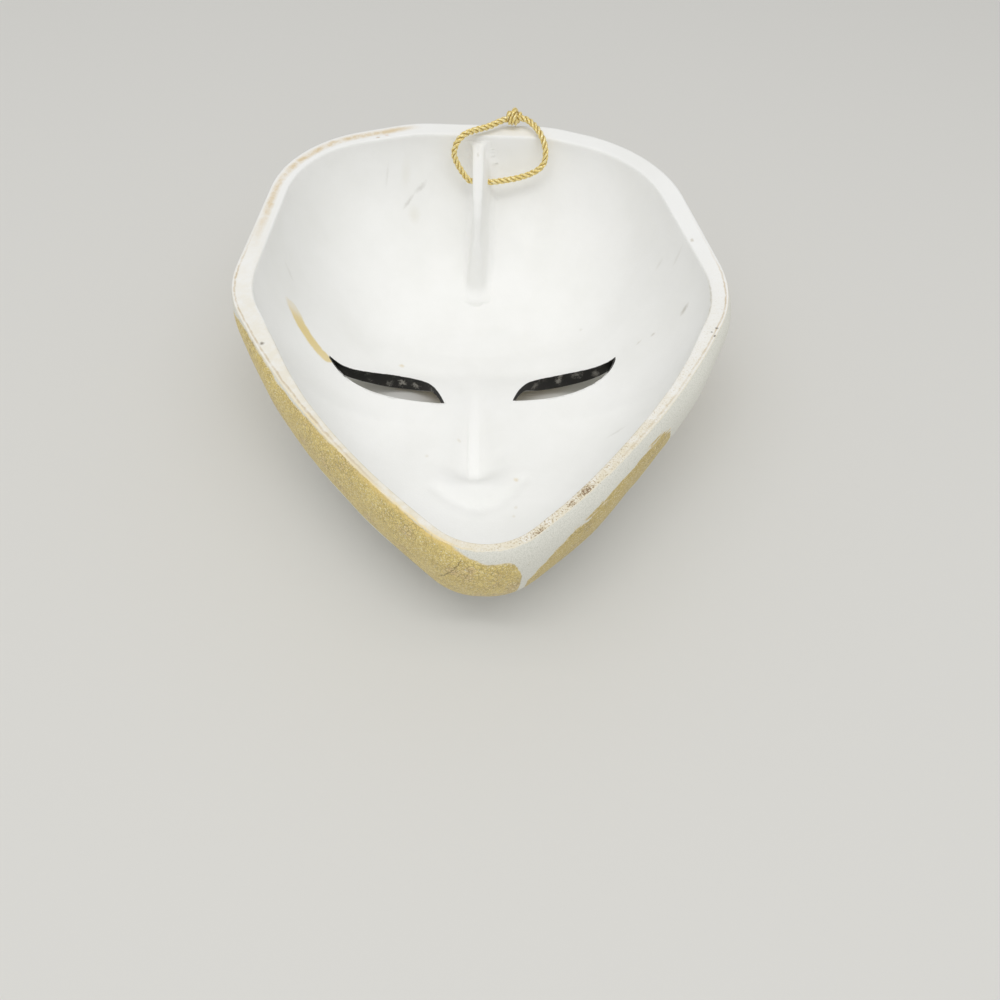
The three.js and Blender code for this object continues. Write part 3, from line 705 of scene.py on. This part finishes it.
frontPaint = {
    # the shaded gold is painted shade; the yellow and the pale edge colours are painted highlights
    "gold": "#f2de92", "goldDark": "#c8b06c", "glint": "#fffbe4", "goldShaded": "#c4ae6e",
    "blush": "#dfc5a2", "yellowHighlight": "#f5da8c", "creamHighlight": "#f3e7ca", "crack": "#937f48",
    "white": "#e9e8df", "whiteShade": "#d6d6cb", "liner": "#1b1916", "fleck": "#a89a66",
    # size in metres, detail and roughness of each noise
    "noises": {"ragged": (0.002, 6, 0.7), "patches": (0.008, 3, 0.6), "grit": (0.00028, 2, 0.6),
               "fleck": (0.0007, 3, 0.6), "glint": (0.0004, 2, 0.7)},
    # the crackle's cell, how far its lines drift, and the size of that drift's noise, in metres
    "cell": 0.0011, "drift": 0.0008, "driftSize": 0.0012,
    # the borders' streaks lie along the rim: how many to the metre in x, y and z, and how far they
    # move a border, in mm; the border's own raggedness in mm
    "streaks": (170, 170, 1100), "streakReach": 7.0, "raggedness": 0.8,
    "borderHalf": 0.12,  # half the softness of the gold's borders, mm
    "bump": (0.5, 0.00008), "goldMetallic": 0.25, "whiteRoughness": 0.38, "goldRoughness": 0.46,
    # by bearing: depth below the rim where white paint gives way to gold, and where gold ends
    "goldFrom": ([-180, -179, -176, -173, -166, -160, -152, -141, -131, -120, -107, -95, -90, -84,
                  -76, -60, -30, 0, 30, 60, 84, 100, 112, 118, 121, 125, 130, 135, 140, 146, 150,
                  155, 159, 162, 165, 169, 171, 172, 173, 174, 176, 179, 180],
                 [2.8, 2.3, 1.0, 0.0, 0.1, 0.0, -0.1, -0.1, 0.2, 0.6, 0.5, 0.3, 0.5, 2.2, 8, 12, 10,
                  12, 11, 13, 17, 22, 24, 12, 5.2, 4.0, 3.5, 3.6, 3.8, 3.9, 4.3, 5.2, 5.4, 5.8, 7.6,
                  10.3, 14.7, 13, 8.7, 4.3, 2.9, 3.2, 2.8]),
    "goldTo": ([-180, -173, -160, -140, -120, -100, -76, -60, -30, 0, 30, 60, 84, 112, 121, 130,
                150, 169, 180],
               [27, 26, 21, 17, 18, 20, 25, 27, 25, 28, 26, 27, 24, 24, 17, 18, 22, 26, 27]),
    # strength by bearing of: streaky borders, a yellow painted highlight under the edge, and
    # painted shade on the gold of the right side
    "shares": {"streaky": ([-180, -100, 108, 118, 168, 173, 180], [0.2, 0.2, 0.2, 1, 1, 0.2, 0.2]),
               "yellowHighlight": ([-178, -173, -156, -146, -125, -106], [0, 1, 0.9, 0.3, 0.35, 0]),
               "shaded": ([60, 108, 166, 172, 178], [0, 1, 1, 0.4, 0])},
    # bare strip beside the chin: its bearing and half width in degrees
    "bareStrip": (172.0, 0.75),
    # long crack at the chin, from and to: x, y, z
    "longCrack": ((-9.3, 2.9, 32.5), (-4.6, 0.3, 43.3)),
    "linerHalf": 1.1, "lips": (-1.5, 31.2, 11.5, 5.6),
}
black = {
    "deep": "#191816", "thin": "#3d3c38", "skipped": "#b9b6ad",
    # where it is rubbed through: x, y, z, radius and strength
    "scuffs": [(-23.1, 83.4, 4.6, 2.2, 0.8), (-19.0, 82.5, 4.4, 2.2, 0.75),
               (-14.0, 77.8, 7, 2.6, 0.4), (-27.0, 83.2, 5.2, 2.0, 0.35),
               (23.3, 83.4, 6.6, 2.0, 0.6), (23.6, 83.4, 8.6, 1.8, 0.5),
               (28.5, 83.4, 9.6, 2.4, 0.5), (34.0, 83.5, 10.1, 2.4, 0.4),
               (16.2, 81.0, 7, 2.6, 0.35)],
}


# What the paint needs to know at each face corner, in millimetres or as a share, worked out
# from where the corner lies and which surface its face belongs to
def markSurfaces(piece):
    mesh = piece.data
    cornerCount, faceCount = len(mesh.loops), len(mesh.polygons)
    vertex = np.empty(cornerCount, np.int32)
    mesh.loops.foreach_get("vertex_index", vertex)
    places = np.empty(len(mesh.vertices) * 3)
    mesh.vertices.foreach_get("co", places)
    x, y, z = (places.reshape(-1, 3)[vertex] * 1000 - rowShift).T
    faceTotals, region = np.empty(faceCount, np.int32), np.empty(faceCount, np.int32)
    mesh.polygons.foreach_get("loop_total", faceTotals)
    mesh.polygons.foreach_get("material_index", region)
    region = np.repeat(region, faceTotals)
    depth = mask["rimLevel"] - z
    dx, dy = x - mask["bowlCentre"][0], y - mask["bowlCentre"][1]
    bearing = bearingOf(x, y)
    inset = reachOutside(np.arctan2(dy, dx)) - np.hypot(dx, dy)
    belowRim = np.maximum(depth - bisque["rimPaintDepth"], 0)
    marks = {"inset": inset + belowRim,
             "innerInset": np.interp(bearing, *mask["rimWidth"]) - inset - 2 * belowRim,
             "overEdge": depth - np.maximum(inset, 0)}
    for number, band in enumerate(bisque["bands"]):
        marks[f"band{number}"] = np.interp(bearing, *band[5:])
    marks["fleckShare"] = np.interp(bearing, *bisque["fleckBearings"])
    gap, at = nearLine(x, y, bisque["strokeLine"])
    left = [point[2] for point in bisque["strokeLine"]]
    marks["strokeInside"] = np.where(region == 0, bisque["strokeHalf"] - gap, -5)
    marks["strokeLeft"] = np.interp(at, np.arange(len(left)), left)
    marks["belowWhite"] = depth - np.interp(bearing, *frontPaint["goldFrom"])
    marks["aboveGoldEnd"] = np.interp(bearing, *frontPaint["goldTo"]) - depth
    for name, values in frontPaint["shares"].items():
        marks[name] = np.interp(bearing, *values)
    outlines = [np.vstack([slitOutline(side), slitOutline(side)[:1]]) for side in (-1, 1)]
    near = (np.abs(y - 77) < 14) & (region == 1)
    liner = np.full(cornerCount, -5.0)
    liner[near] = frontPaint["linerHalf"] - np.minimum(
        *(nearLine(x[near], y[near], outline)[0] for outline in outlines))
    marks["linerInside"] = liner
    inner = sideDepth(x, y, True)[0]
    outer = sideDepth(x, y, False)[0]
    marks["slitDepth"] = np.where(region == 2, np.minimum(depth - inner, outer - depth), 0)
    for name, values in marks.items():
        mesh.attributes.new(name, "FLOAT", "CORNER").data.foreach_set(
            "value", values.astype(np.float32))


# What a finish reads at each point: its place on the piece, noises and marks by name
def surfaceInputs(tree, noises, names):
    place = addNode(tree, "TexCoord", output="Object")
    noise = {name: addNode(tree, "TexNoise", {
        "Vector": place, "Scale": 1 / size, "Detail": detail, "Roughness": rough})
        for name, (size, detail, rough) in noises.items()}
    mark = {name: addNode(tree, "Attribute", output="Fac", attribute_name=name) for name in names}
    return place, noise, mark


# Slip-cast white earthenware, fired once and left unglazed inside: dead matt, softly clouded,
# with a fine dry grain, and the stains that the painter's brush left on the rim and by one eye;
# also a painted highlight and painted shade along the rim's edges, and a painted shade spot by the
# lug
def castBisque():
    material, tree, shader = newMaterial("earthenware_bisque_cast")
    place, noise, mark = surfaceInputs(tree, bisque["noises"], (
        "inset", "innerInset", "fleckShare", "strokeInside", "strokeLeft"))
    cloudFrom, cloudTo = bisque["cloudLevels"]
    cloudShare = addNode(tree, "MapRange", {0: noise["cloud"], 1: cloudFrom, 2: cloudTo})
    colour = addNode(tree, "Mix", {
        0: cloudShare, 6: toLinear(bisque["white"]), 7: toLinear(bisque["cloud"])},
        data_type="RGBA")
    # bands on the rim, with wavering edges
    waver = bisque["bandWaver"]
    wavering = {edge: addNode(tree, "Math", {
        0: noise["ragged"], 1: waver, 2: addNode(tree, "Math", {0: mark[edge], 1: -waver / 2})},
        operation="MULTIPLY_ADD") for edge in ("inset", "innerInset")}
    patchFrom, patchTo, patchLeast = bisque["bandPatches"]
    patchy = addNode(tree, "MapRange", {
        0: noise["patches"], 1: patchFrom, 2: patchTo, 3: patchLeast, 4: 1.0})
    for number, (hexColour, edge, start, end, soft, _, _) in enumerate(bisque["bands"]):
        strength = addNode(tree, "Attribute", output="Fac", attribute_name=f"band{number}")
        strength = addNode(tree, "Math", {0: strength, 1: patchy}, operation="MULTIPLY")
        risen = addNode(tree, "MapRange", {
            0: wavering[edge], 1: start, 2: start + soft, 3: 0.0, 4: strength})
        share = addNode(tree, "MapRange", {
            0: wavering[edge], 1: end, 2: end + soft, 3: risen, 4: 0.0})
        colour = addNode(tree, "Mix", {0: share, 6: colour, 7: toLinear(hexColour)},
                         data_type="RGBA")
    # marks are flat ellipses whose edges are shifted by a coloured noise
    shift = bisque["markShift"] * 0.001
    flat = addNode(tree, "VectorMath", {0: place, 1: (1, 1, 0)}, operation="MULTIPLY")
    shiftNoise = addNode(tree, "TexNoise", {
        "Vector": place, "Scale": 1000 / bisque["markShiftSize"]}, output="Color")
    shifted = addNode(tree, "VectorMath", {
        0: shiftNoise, 1: (2 * shift, 2 * shift, 0), 2: flat}, operation="MULTIPLY_ADD")
    balls = []
    for centreX, centreY, halfLength, halfWidth, turn in [
            spot[:5] for spot in bisque["crowds"] + bisque["marks"]]:
        centre = toRow((centreX, centreY, 0)) + shift
        ellipse = addNode(tree, "Mapping", {
            "Vector": shifted, "Location": (centre[0], centre[1], 0),
            "Rotation": (0, 0, math.radians(turn)),
            "Scale": (halfLength * 0.001, halfWidth * 0.001, 1.0)}, vector_type="TEXTURE")
        balls.append(addNode(tree, "TexGradient", {"Vector": ellipse}, output="Fac",
                             gradient_type="SPHERICAL"))
    crowds, marks = balls[:len(bisque["crowds"])], balls[len(bisque["crowds"]):]
    # flecks on the rim, a third of a millimetre across
    fleckWindow = addNode(tree, "MapRange", {
        0: mark["innerInset"], 1: 0.1, 2: 0.5, 3: 0.0, 4: mark["fleckShare"]})
    fleckLevel = addNode(tree, "Math", {0: fleckWindow, 1: 0.15, 2: noise["fleck"]},
                         operation="MULTIPLY_ADD")
    for ball in crowds:
        fleckLevel = addNode(tree, "Math", {0: ball, 1: 0.22, 2: fleckLevel},
                             operation="MULTIPLY_ADD")
    for hexColour, level, strength in bisque["flecks"]:
        share = addNode(tree, "MapRange", {
            0: fleckLevel, 1: level, 2: level + 0.05, 3: 0.0, 4: strength})
        share = addNode(tree, "Math", {0: share, 1: fleckWindow}, operation="MULTIPLY")
        colour = addNode(tree, "Mix", {0: share, 6: colour, 7: toLinear(hexColour)},
                         data_type="RGBA")
    # brush stroke: its edge wavers by a third of a millimetre
    strokeEdge = addNode(tree, "Math", {0: noise["ragged"], 1: 0.8, 2: mark["strokeInside"]},
                         operation="MULTIPLY_ADD")
    strokeShare = addNode(tree, "MapRange", {
        0: strokeEdge, 1: 0.2, 2: 0.75, 3: 0.0, 4: mark["strokeLeft"]})
    colour = addNode(tree, "Mix", {0: strokeShare, 6: colour, 7: toLinear(bisque["stroke"])},
                     data_type="RGBA")
    for ball, (*_, strength, hexColour) in zip(marks, bisque["marks"]):
        share = addNode(tree, "MapRange", {0: ball, 1: 0.0, 2: 0.8, 3: 0.0, 4: strength})
        colour = addNode(tree, "Mix", {0: share, 6: colour, 7: toLinear(hexColour)},
                         data_type="RGBA")
    grainStrength, grainDepth = bisque["grainBump"]
    raggedStrength, raggedDepth = bisque["raggedBump"]
    bumpGrain = addNode(tree, "Bump", {
        "Height": noise["grain"], "Strength": grainStrength, "Distance": grainDepth})
    bumpRag = addNode(tree, "Bump", {
        "Height": noise["ragged"], "Strength": raggedStrength, "Distance": raggedDepth,
        "Normal": bumpGrain})
    tree.links.new(colour, shader.inputs["Base Color"])
    tree.links.new(bumpRag, shader.inputs["Normal"])
    shader.inputs["Roughness"].default_value = bisque["roughness"]
    return material


# Cold-painted front: bronze-powder gold over white that shrank into a fine crackle as it dried.
# The cells catch light like dull metal, the cracks between them show brown
def crackledPaint():
    material, tree, shader = newMaterial("acrylic_gold_crackled")
    place, noise, mark = surfaceInputs(tree, frontPaint["noises"], (
        "overEdge", "belowWhite", "aboveGoldEnd", "linerInside", *frontPaint["shares"]))

    # gold: cells tinted one by one, with cracks between them that wander with a coloured noise
    drift = addNode(tree, "TexNoise", {
        "Vector": place, "Scale": 1 / frontPaint["driftSize"]}, output="Color")
    drifted = addNode(tree, "VectorMath", {0: drift, 1: (frontPaint["drift"],) * 3, 2: place},
                      operation="MULTIPLY_ADD")
    cells = addNode(tree, "TexVoronoi", {
        "Vector": drifted, "Scale": 1 / frontPaint["cell"]}, feature="DISTANCE_TO_EDGE")
    tint = addNode(tree, "SeparateColor", {0: addNode(tree, "TexVoronoi", {
        "Vector": drifted, "Scale": 1 / frontPaint["cell"]}, output="Color")})
    dark = addNode(tree, "Math", {0: tint, 1: 0.12, 2: noise["grit"]}, operation="MULTIPLY_ADD")
    dark = addNode(tree, "MapRange", {0: dark, 1: 0.42, 2: 0.7})
    gold = addNode(tree, "Mix", {0: dark, 6: toLinear(frontPaint["gold"]),
                                 7: toLinear(frontPaint["goldDark"])}, data_type="RGBA")
    # the depth below the white's border, with streaks along the rim
    alongRim = addNode(tree, "Mapping", {"Vector": place, "Scale": frontPaint["streaks"]})
    streaks = addNode(tree, "TexNoise", {"Vector": alongRim, "Scale": 1.0, "Detail": 4,
                                         "Roughness": 0.65})
    streaks = addNode(tree, "Math", {0: streaks, 1: -0.5})
    streaks = addNode(tree, "Math", {0: streaks, 1: mark["streaky"]}, operation="MULTIPLY")
    raggedness, border = frontPaint["raggedness"], frontPaint["borderHalf"]
    ragged = addNode(tree, "Math", {0: noise["ragged"], 1: raggedness, 2: -raggedness / 2},
                     operation="MULTIPLY_ADD")
    wander = addNode(tree, "Math", {0: streaks, 1: frontPaint["streakReach"], 2: ragged},
                     operation="MULTIPLY_ADD")
    below = addNode(tree, "Math", {0: mark["belowWhite"], 1: wander})
    cracks = addNode(tree, "MapRange", {0: cells, 1: 0.02, 2: 0.09, 3: 1.0, 4: 0.0})
    crackStrength = addNode(tree, "MapRange", {
        0: noise["patches"], 1: 0.45, 2: 0.6, 3: 0.1, 4: 0.6})
    tints = [  # share of each colour over the gold, in order
        ("blush", addNode(tree, "MapRange", {
            0: noise["patches"], 1: 0.56, 2: 0.68, 3: 0.0, 4: 0.5})),
        # painted shade: the gold of the right side is darkened
        ("goldShaded", addNode(tree, "Math", {0: mark["shaded"], 1: 0.6}, operation="MULTIPLY")),
        # painted glints: pale specks from a fine noise
        ("glint", addNode(tree, "MapRange", {
            0: noise["glint"], 1: 0.58, 2: 0.65, 3: 0.0, 4: 0.75})),
        # painted highlight: a yellow band just below the gold's upper border, on the left
        ("yellowHighlight", addNode(tree, "MapRange", {
            0: below, 1: 0.5, 2: 1.7, 3: mark["yellowHighlight"], 4: 0.0})),
        # painted highlight: a pale line along the gold's upper border
        ("creamHighlight", addNode(tree, "MapRange", {0: below, 1: 0.1, 2: 0.45, 3: 0.7, 4: 0.0})),
        ("crack", addNode(tree, "Math", {0: cracks, 1: crackStrength}, operation="MULTIPLY"))]
    for name, share in tints:
        gold = addNode(tree, "Mix", {0: share, 6: gold, 7: toLinear(frontPaint[name])},
                       data_type="RGBA")

    # white: grained, with a few flecks of gold, and a pale painted highlight at the very edge,
    # yellow where the gold's painted highlight is; the middle of the front, farther in from the
    # edge than it lies below it, takes that pale highlight colour as well
    whiteShade = addNode(tree, "MapRange", {0: noise["grit"], 1: 0.42, 2: 0.66})
    white = addNode(tree, "Mix", {0: whiteShade, 6: toLinear(frontPaint["white"]),
                                  7: toLinear(frontPaint["whiteShade"])}, data_type="RGBA")
    whiteFleck = addNode(tree, "MapRange", {0: noise["fleck"], 1: 0.69, 2: 0.73, 3: 0.0, 4: 0.7})
    white = addNode(tree, "Mix", {0: whiteFleck, 6: white, 7: toLinear(frontPaint["fleck"])},
                    data_type="RGBA")
    overEdge = addNode(tree, "Math", {0: mark["overEdge"], 1: ragged})
    edgeShare = addNode(tree, "MapRange", {0: overEdge, 1: -0.2, 2: 0.3})
    edge = addNode(tree, "Mix", {0: mark["yellowHighlight"], 6: toLinear(frontPaint["creamHighlight"]),
                                 7: toLinear(frontPaint["yellowHighlight"])}, data_type="RGBA")
    white = addNode(tree, "Mix", {0: edgeShare, 6: edge, 7: white}, data_type="RGBA")

    # where the gold lies: between its borders, but not on the bare strip by the chin; and the lips
    centre = toRow((*mask["bowlCentre"], mask["rimLevel"]))
    outwards = addNode(tree, "SeparateXYZ", {0: addNode(tree, "VectorMath", {
        0: place, 1: tuple(centre)}, operation="SUBTRACT")}).node
    turn = addNode(tree, "Math", {0: outwards.outputs[0], 1: outwards.outputs[1]},
                   operation="ARCTAN2")
    stripBearing, stripHalf = np.radians(frontPaint["bareStrip"])
    fromStrip = addNode(tree, "Math", {0: turn, 1: float(stripBearing)}, operation="SUBTRACT")
    fromStrip = addNode(tree, "Math", {0: fromStrip}, operation="ABSOLUTE")
    fromStrip = addNode(tree, "Math", {0: ragged, 1: 0.008, 2: fromStrip}, operation="MULTIPLY_ADD")
    share = addNode(tree, "MapRange", {0: fromStrip, 1: stripHalf * 0.9, 2: stripHalf * 1.2})
    share = addNode(tree, "MapRange", {0: below, 1: -border, 2: border, 3: 0.0, 4: share})
    goldEnd = addNode(tree, "Math", {0: mark["aboveGoldEnd"], 1: wander})
    share = addNode(tree, "MapRange", {0: goldEnd, 1: -border, 2: border, 3: 0.0, 4: share})
    lipX, lipY, lipWidth, lipHeight = frontPaint["lips"]
    centre = toRow((lipX, lipY, 0))
    lips = addNode(tree, "VectorMath", {0: drifted, 1: (1, 1, 0)}, operation="MULTIPLY")
    lips = addNode(tree, "Mapping", {
        "Vector": lips, "Location": (centre[0], centre[1], 0),
        "Scale": (lipWidth * 0.001, lipHeight * 0.001, 1.0)}, vector_type="TEXTURE")
    lips = addNode(tree, "TexGradient", {"Vector": lips}, output="Fac", gradient_type="SPHERICAL")
    level = addNode(tree, "SeparateXYZ", {0: place}).node.outputs["Z"]
    onLips = addNode(tree, "MapRange", {0: level, 1: 0.014, 2: 0.012})
    onLips = addNode(tree, "MapRange", {0: lips, 1: 0.02, 2: 0.1, 3: 0.0, 4: onLips})
    goldShare = addNode(tree, "Math", {0: share, 1: onLips}, operation="MAXIMUM")
    colour = addNode(tree, "Mix", {0: goldShare, 6: white, 7: gold}, data_type="RGBA")

    # a long crack at the chin: the plane through it and straight back into the wall
    start, end = (toRow(point) for point in frontPaint["longCrack"])
    square = np.cross(end - start, (0.0, 1.0, 0.0))
    square /= np.linalg.norm(square)
    away = addNode(tree, "VectorMath", {0: drifted, 1: tuple(start + frontPaint["drift"] / 2)},
                   operation="SUBTRACT")
    away = addNode(tree, "VectorMath", {0: away, 1: tuple(square)}, output="Value",
                   operation="DOT_PRODUCT")
    away = addNode(tree, "Math", {0: away}, operation="ABSOLUTE")
    crackShare = addNode(tree, "MapRange", {
        0: level, 1: start[2], 2: start[2] + 0.001, 3: 0.0, 4: goldShare})
    crackShare = addNode(tree, "MapRange", {
        0: level, 1: end[2], 2: end[2] + 0.0005, 3: crackShare, 4: 0.0})
    # only on the chin's own side of the bowl
    crackShare = addNode(tree, "MapRange", {
        0: outwards.outputs[1], 1: -0.045, 2: -0.05, 3: 0.0, 4: crackShare})
    crackShare = addNode(tree, "MapRange", {0: away, 1: 0.00002, 2: 0.00013, 3: crackShare, 4: 0.0})
    colour = addNode(tree, "Mix", {0: crackShare, 6: colour, 7: toLinear(frontPaint["crack"])},
                     data_type="RGBA")
    linerEdge = addNode(tree, "Math", {0: ragged, 1: 0.5, 2: mark["linerInside"]},
                        operation="MULTIPLY_ADD")
    linerShare = addNode(tree, "MapRange", {0: linerEdge, 1: -0.1, 2: 0.1})
    colour = addNode(tree, "Mix", {0: linerShare, 6: colour, 7: toLinear(frontPaint["liner"])},
                     data_type="RGBA")
    sunk = addNode(tree, "Math", {0: cracks, 1: goldShare}, operation="MULTIPLY")
    height = addNode(tree, "Math", {0: noise["grit"], 1: sunk}, operation="SUBTRACT")
    bumpStrength, bumpDepth = frontPaint["bump"]
    bump = addNode(tree, "Bump", {
        "Height": height, "Strength": bumpStrength, "Distance": bumpDepth})
    metal = addNode(tree, "MapRange", {0: goldShare, 3: 0.0, 4: frontPaint["goldMetallic"]})
    rough = addNode(tree, "MapRange", {
        0: goldShare, 3: frontPaint["whiteRoughness"], 4: frontPaint["goldRoughness"]})
    tree.links.new(colour, shader.inputs["Base Color"])
    tree.links.new(metal, shader.inputs["Metallic"])
    tree.links.new(bump, shader.inputs["Normal"])
    tree.links.new(rough, shader.inputs["Roughness"])
    return material


# Black poster paint brushed into the eye slits: flat black, rubbed back to grey and white where
# the brush skipped on the bare clay
def slitBlack():
    material, tree, shader = newMaterial("poster_black_brushed")
    place = addNode(tree, "TexCoord", output="Object")
    skips = addNode(tree, "TexNoise", {
        "Vector": place, "Scale": 1 / 0.0022, "Detail": 5, "Roughness": 0.7})
    fine = addNode(tree, "TexNoise", {
        "Vector": place, "Scale": 1 / 0.0008, "Detail": 4, "Roughness": 0.7})
    ramp = addNode(tree, "ValToRGB", {0: skips})
    steps = ramp.node.color_ramp.elements
    steps[0].position, steps[0].color = 0.54, toLinear(black["deep"])
    steps[1].position, steps[1].color = 0.80, toLinear(black["skipped"])
    steps.new(0.66).color = toLinear(black["thin"])
    colour = ramp
    for centreX, centreY, centreZ, radius, strength in black["scuffs"]:
        rubbed = addNode(tree, "Mapping", {
            "Vector": place, "Location": tuple(toRow((centreX, centreY, centreZ))),
            "Scale": (radius * 0.001,) * 3}, vector_type="TEXTURE")
        ball = addNode(tree, "TexGradient", {"Vector": rubbed}, output="Fac",
                       gradient_type="SPHERICAL")
        edge = addNode(tree, "Math", {0: fine, 1: 2.2, 2: ball}, operation="MULTIPLY_ADD")
        share = addNode(tree, "MapRange", {0: edge, 1: 1.5, 2: 2.0, 3: 0.0, 4: strength})
        colour = addNode(tree, "Mix", {0: share, 6: colour, 7: toLinear(black["skipped"])},
                         data_type="RGBA")
    slitDepth = addNode(tree, "Attribute", output="Fac", attribute_name="slitDepth")
    edge = addNode(tree, "Math", {0: skips, 1: 0.5, 2: slitDepth}, operation="MULTIPLY_ADD")
    inside = addNode(tree, "MapRange", {0: edge, 1: 0.36, 2: 0.5})
    colour = addNode(tree, "Mix", {0: inside, 6: toLinear(bisque["white"]), 7: colour},
                     data_type="RGBA")
    bump = addNode(tree, "Bump", {"Height": skips, "Strength": 0.4, "Distance": 0.00012})
    tree.links.new(colour, shader.inputs["Base Color"])
    tree.links.new(bump, shader.inputs["Normal"])
    shader.inputs["Roughness"].default_value = 0.6
    return material


shell = shellPiece([castBisque(), crackledPaint(), slitBlack()])
shell = joinShapes(shell, [
    (lugPiece(shell.data.materials[0]), "UNION"),
    (slitCutter(1, shell.data.materials[2]), "DIFFERENCE"),
    (slitCutter(-1, shell.data.materials[2]), "DIFFERENCE"),
    (holeCutter(shell.data.materials[0]), "DIFFERENCE"),
])
markSurfaces(shell)
print("mask shaped,", len(shell.data.polygons), "faces, materials",
      [m.name for m in shell.data.materials])
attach(shell, "root")
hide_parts("mask_shell")


# Stage: a plain pale table top under a broad soft light overhead, a little to the camera's side,
# and a long narrow one that gives the cord its shadow
stage = {"floorSize": 3.0, "floorColour": "#d9d8d4", "sky": "#f4f4f3", "skyStrength": 0.62,
         "lampPlace": (-0.03, -0.3, 1.0),
         # name, size along x and y, power
         "lamps": [("overhead", 1.7, 0.7, 4.25), ("strip", 0.8, 0.08, 1.7)]}
floorMaterial, _, floorShader = newMaterial("table_top_painted")
floorShader.inputs["Base Color"].default_value = toLinear(stage["floorColour"])
floorShader.inputs["Roughness"].default_value = 0.7
floorHalf = stage["floorSize"] / 2
floorMesh = bpy.data.meshes.new("table_top")
floorMesh.from_pydata([(-floorHalf, -floorHalf, 0), (floorHalf, -floorHalf, 0),
                       (floorHalf, floorHalf, 0), (-floorHalf, floorHalf, 0)], [], [(0, 1, 2, 3)])
floorMesh.materials.append(floorMaterial)
floor = bpy.data.objects.new("table_top", floorMesh)
bpy.context.scene.collection.objects.link(floor)
world = bpy.data.worlds.new("room")
world.use_nodes = True
world.node_tree.nodes["Background"].inputs["Color"].default_value = toLinear(stage["sky"])
world.node_tree.nodes["Background"].inputs["Strength"].default_value = stage["skyStrength"]
bpy.context.scene.world = world
for name, sizeX, sizeY, power in stage["lamps"]:
    light = bpy.data.lights.new(name, "AREA")
    light.shape = "RECTANGLE"
    light.size = sizeX
    light.size_y = sizeY
    light.energy = power
    lamp = bpy.data.objects.new(name, light)
    bpy.context.scene.collection.objects.link(lamp)
    lamp.location = stage["lampPlace"]
    lamp.rotation_euler = (-Vector(stage["lampPlace"])).to_track_quat("-Z", "Y").to_euler()
bpy.context.scene.view_settings.view_transform = "Standard"
print("stage lit")
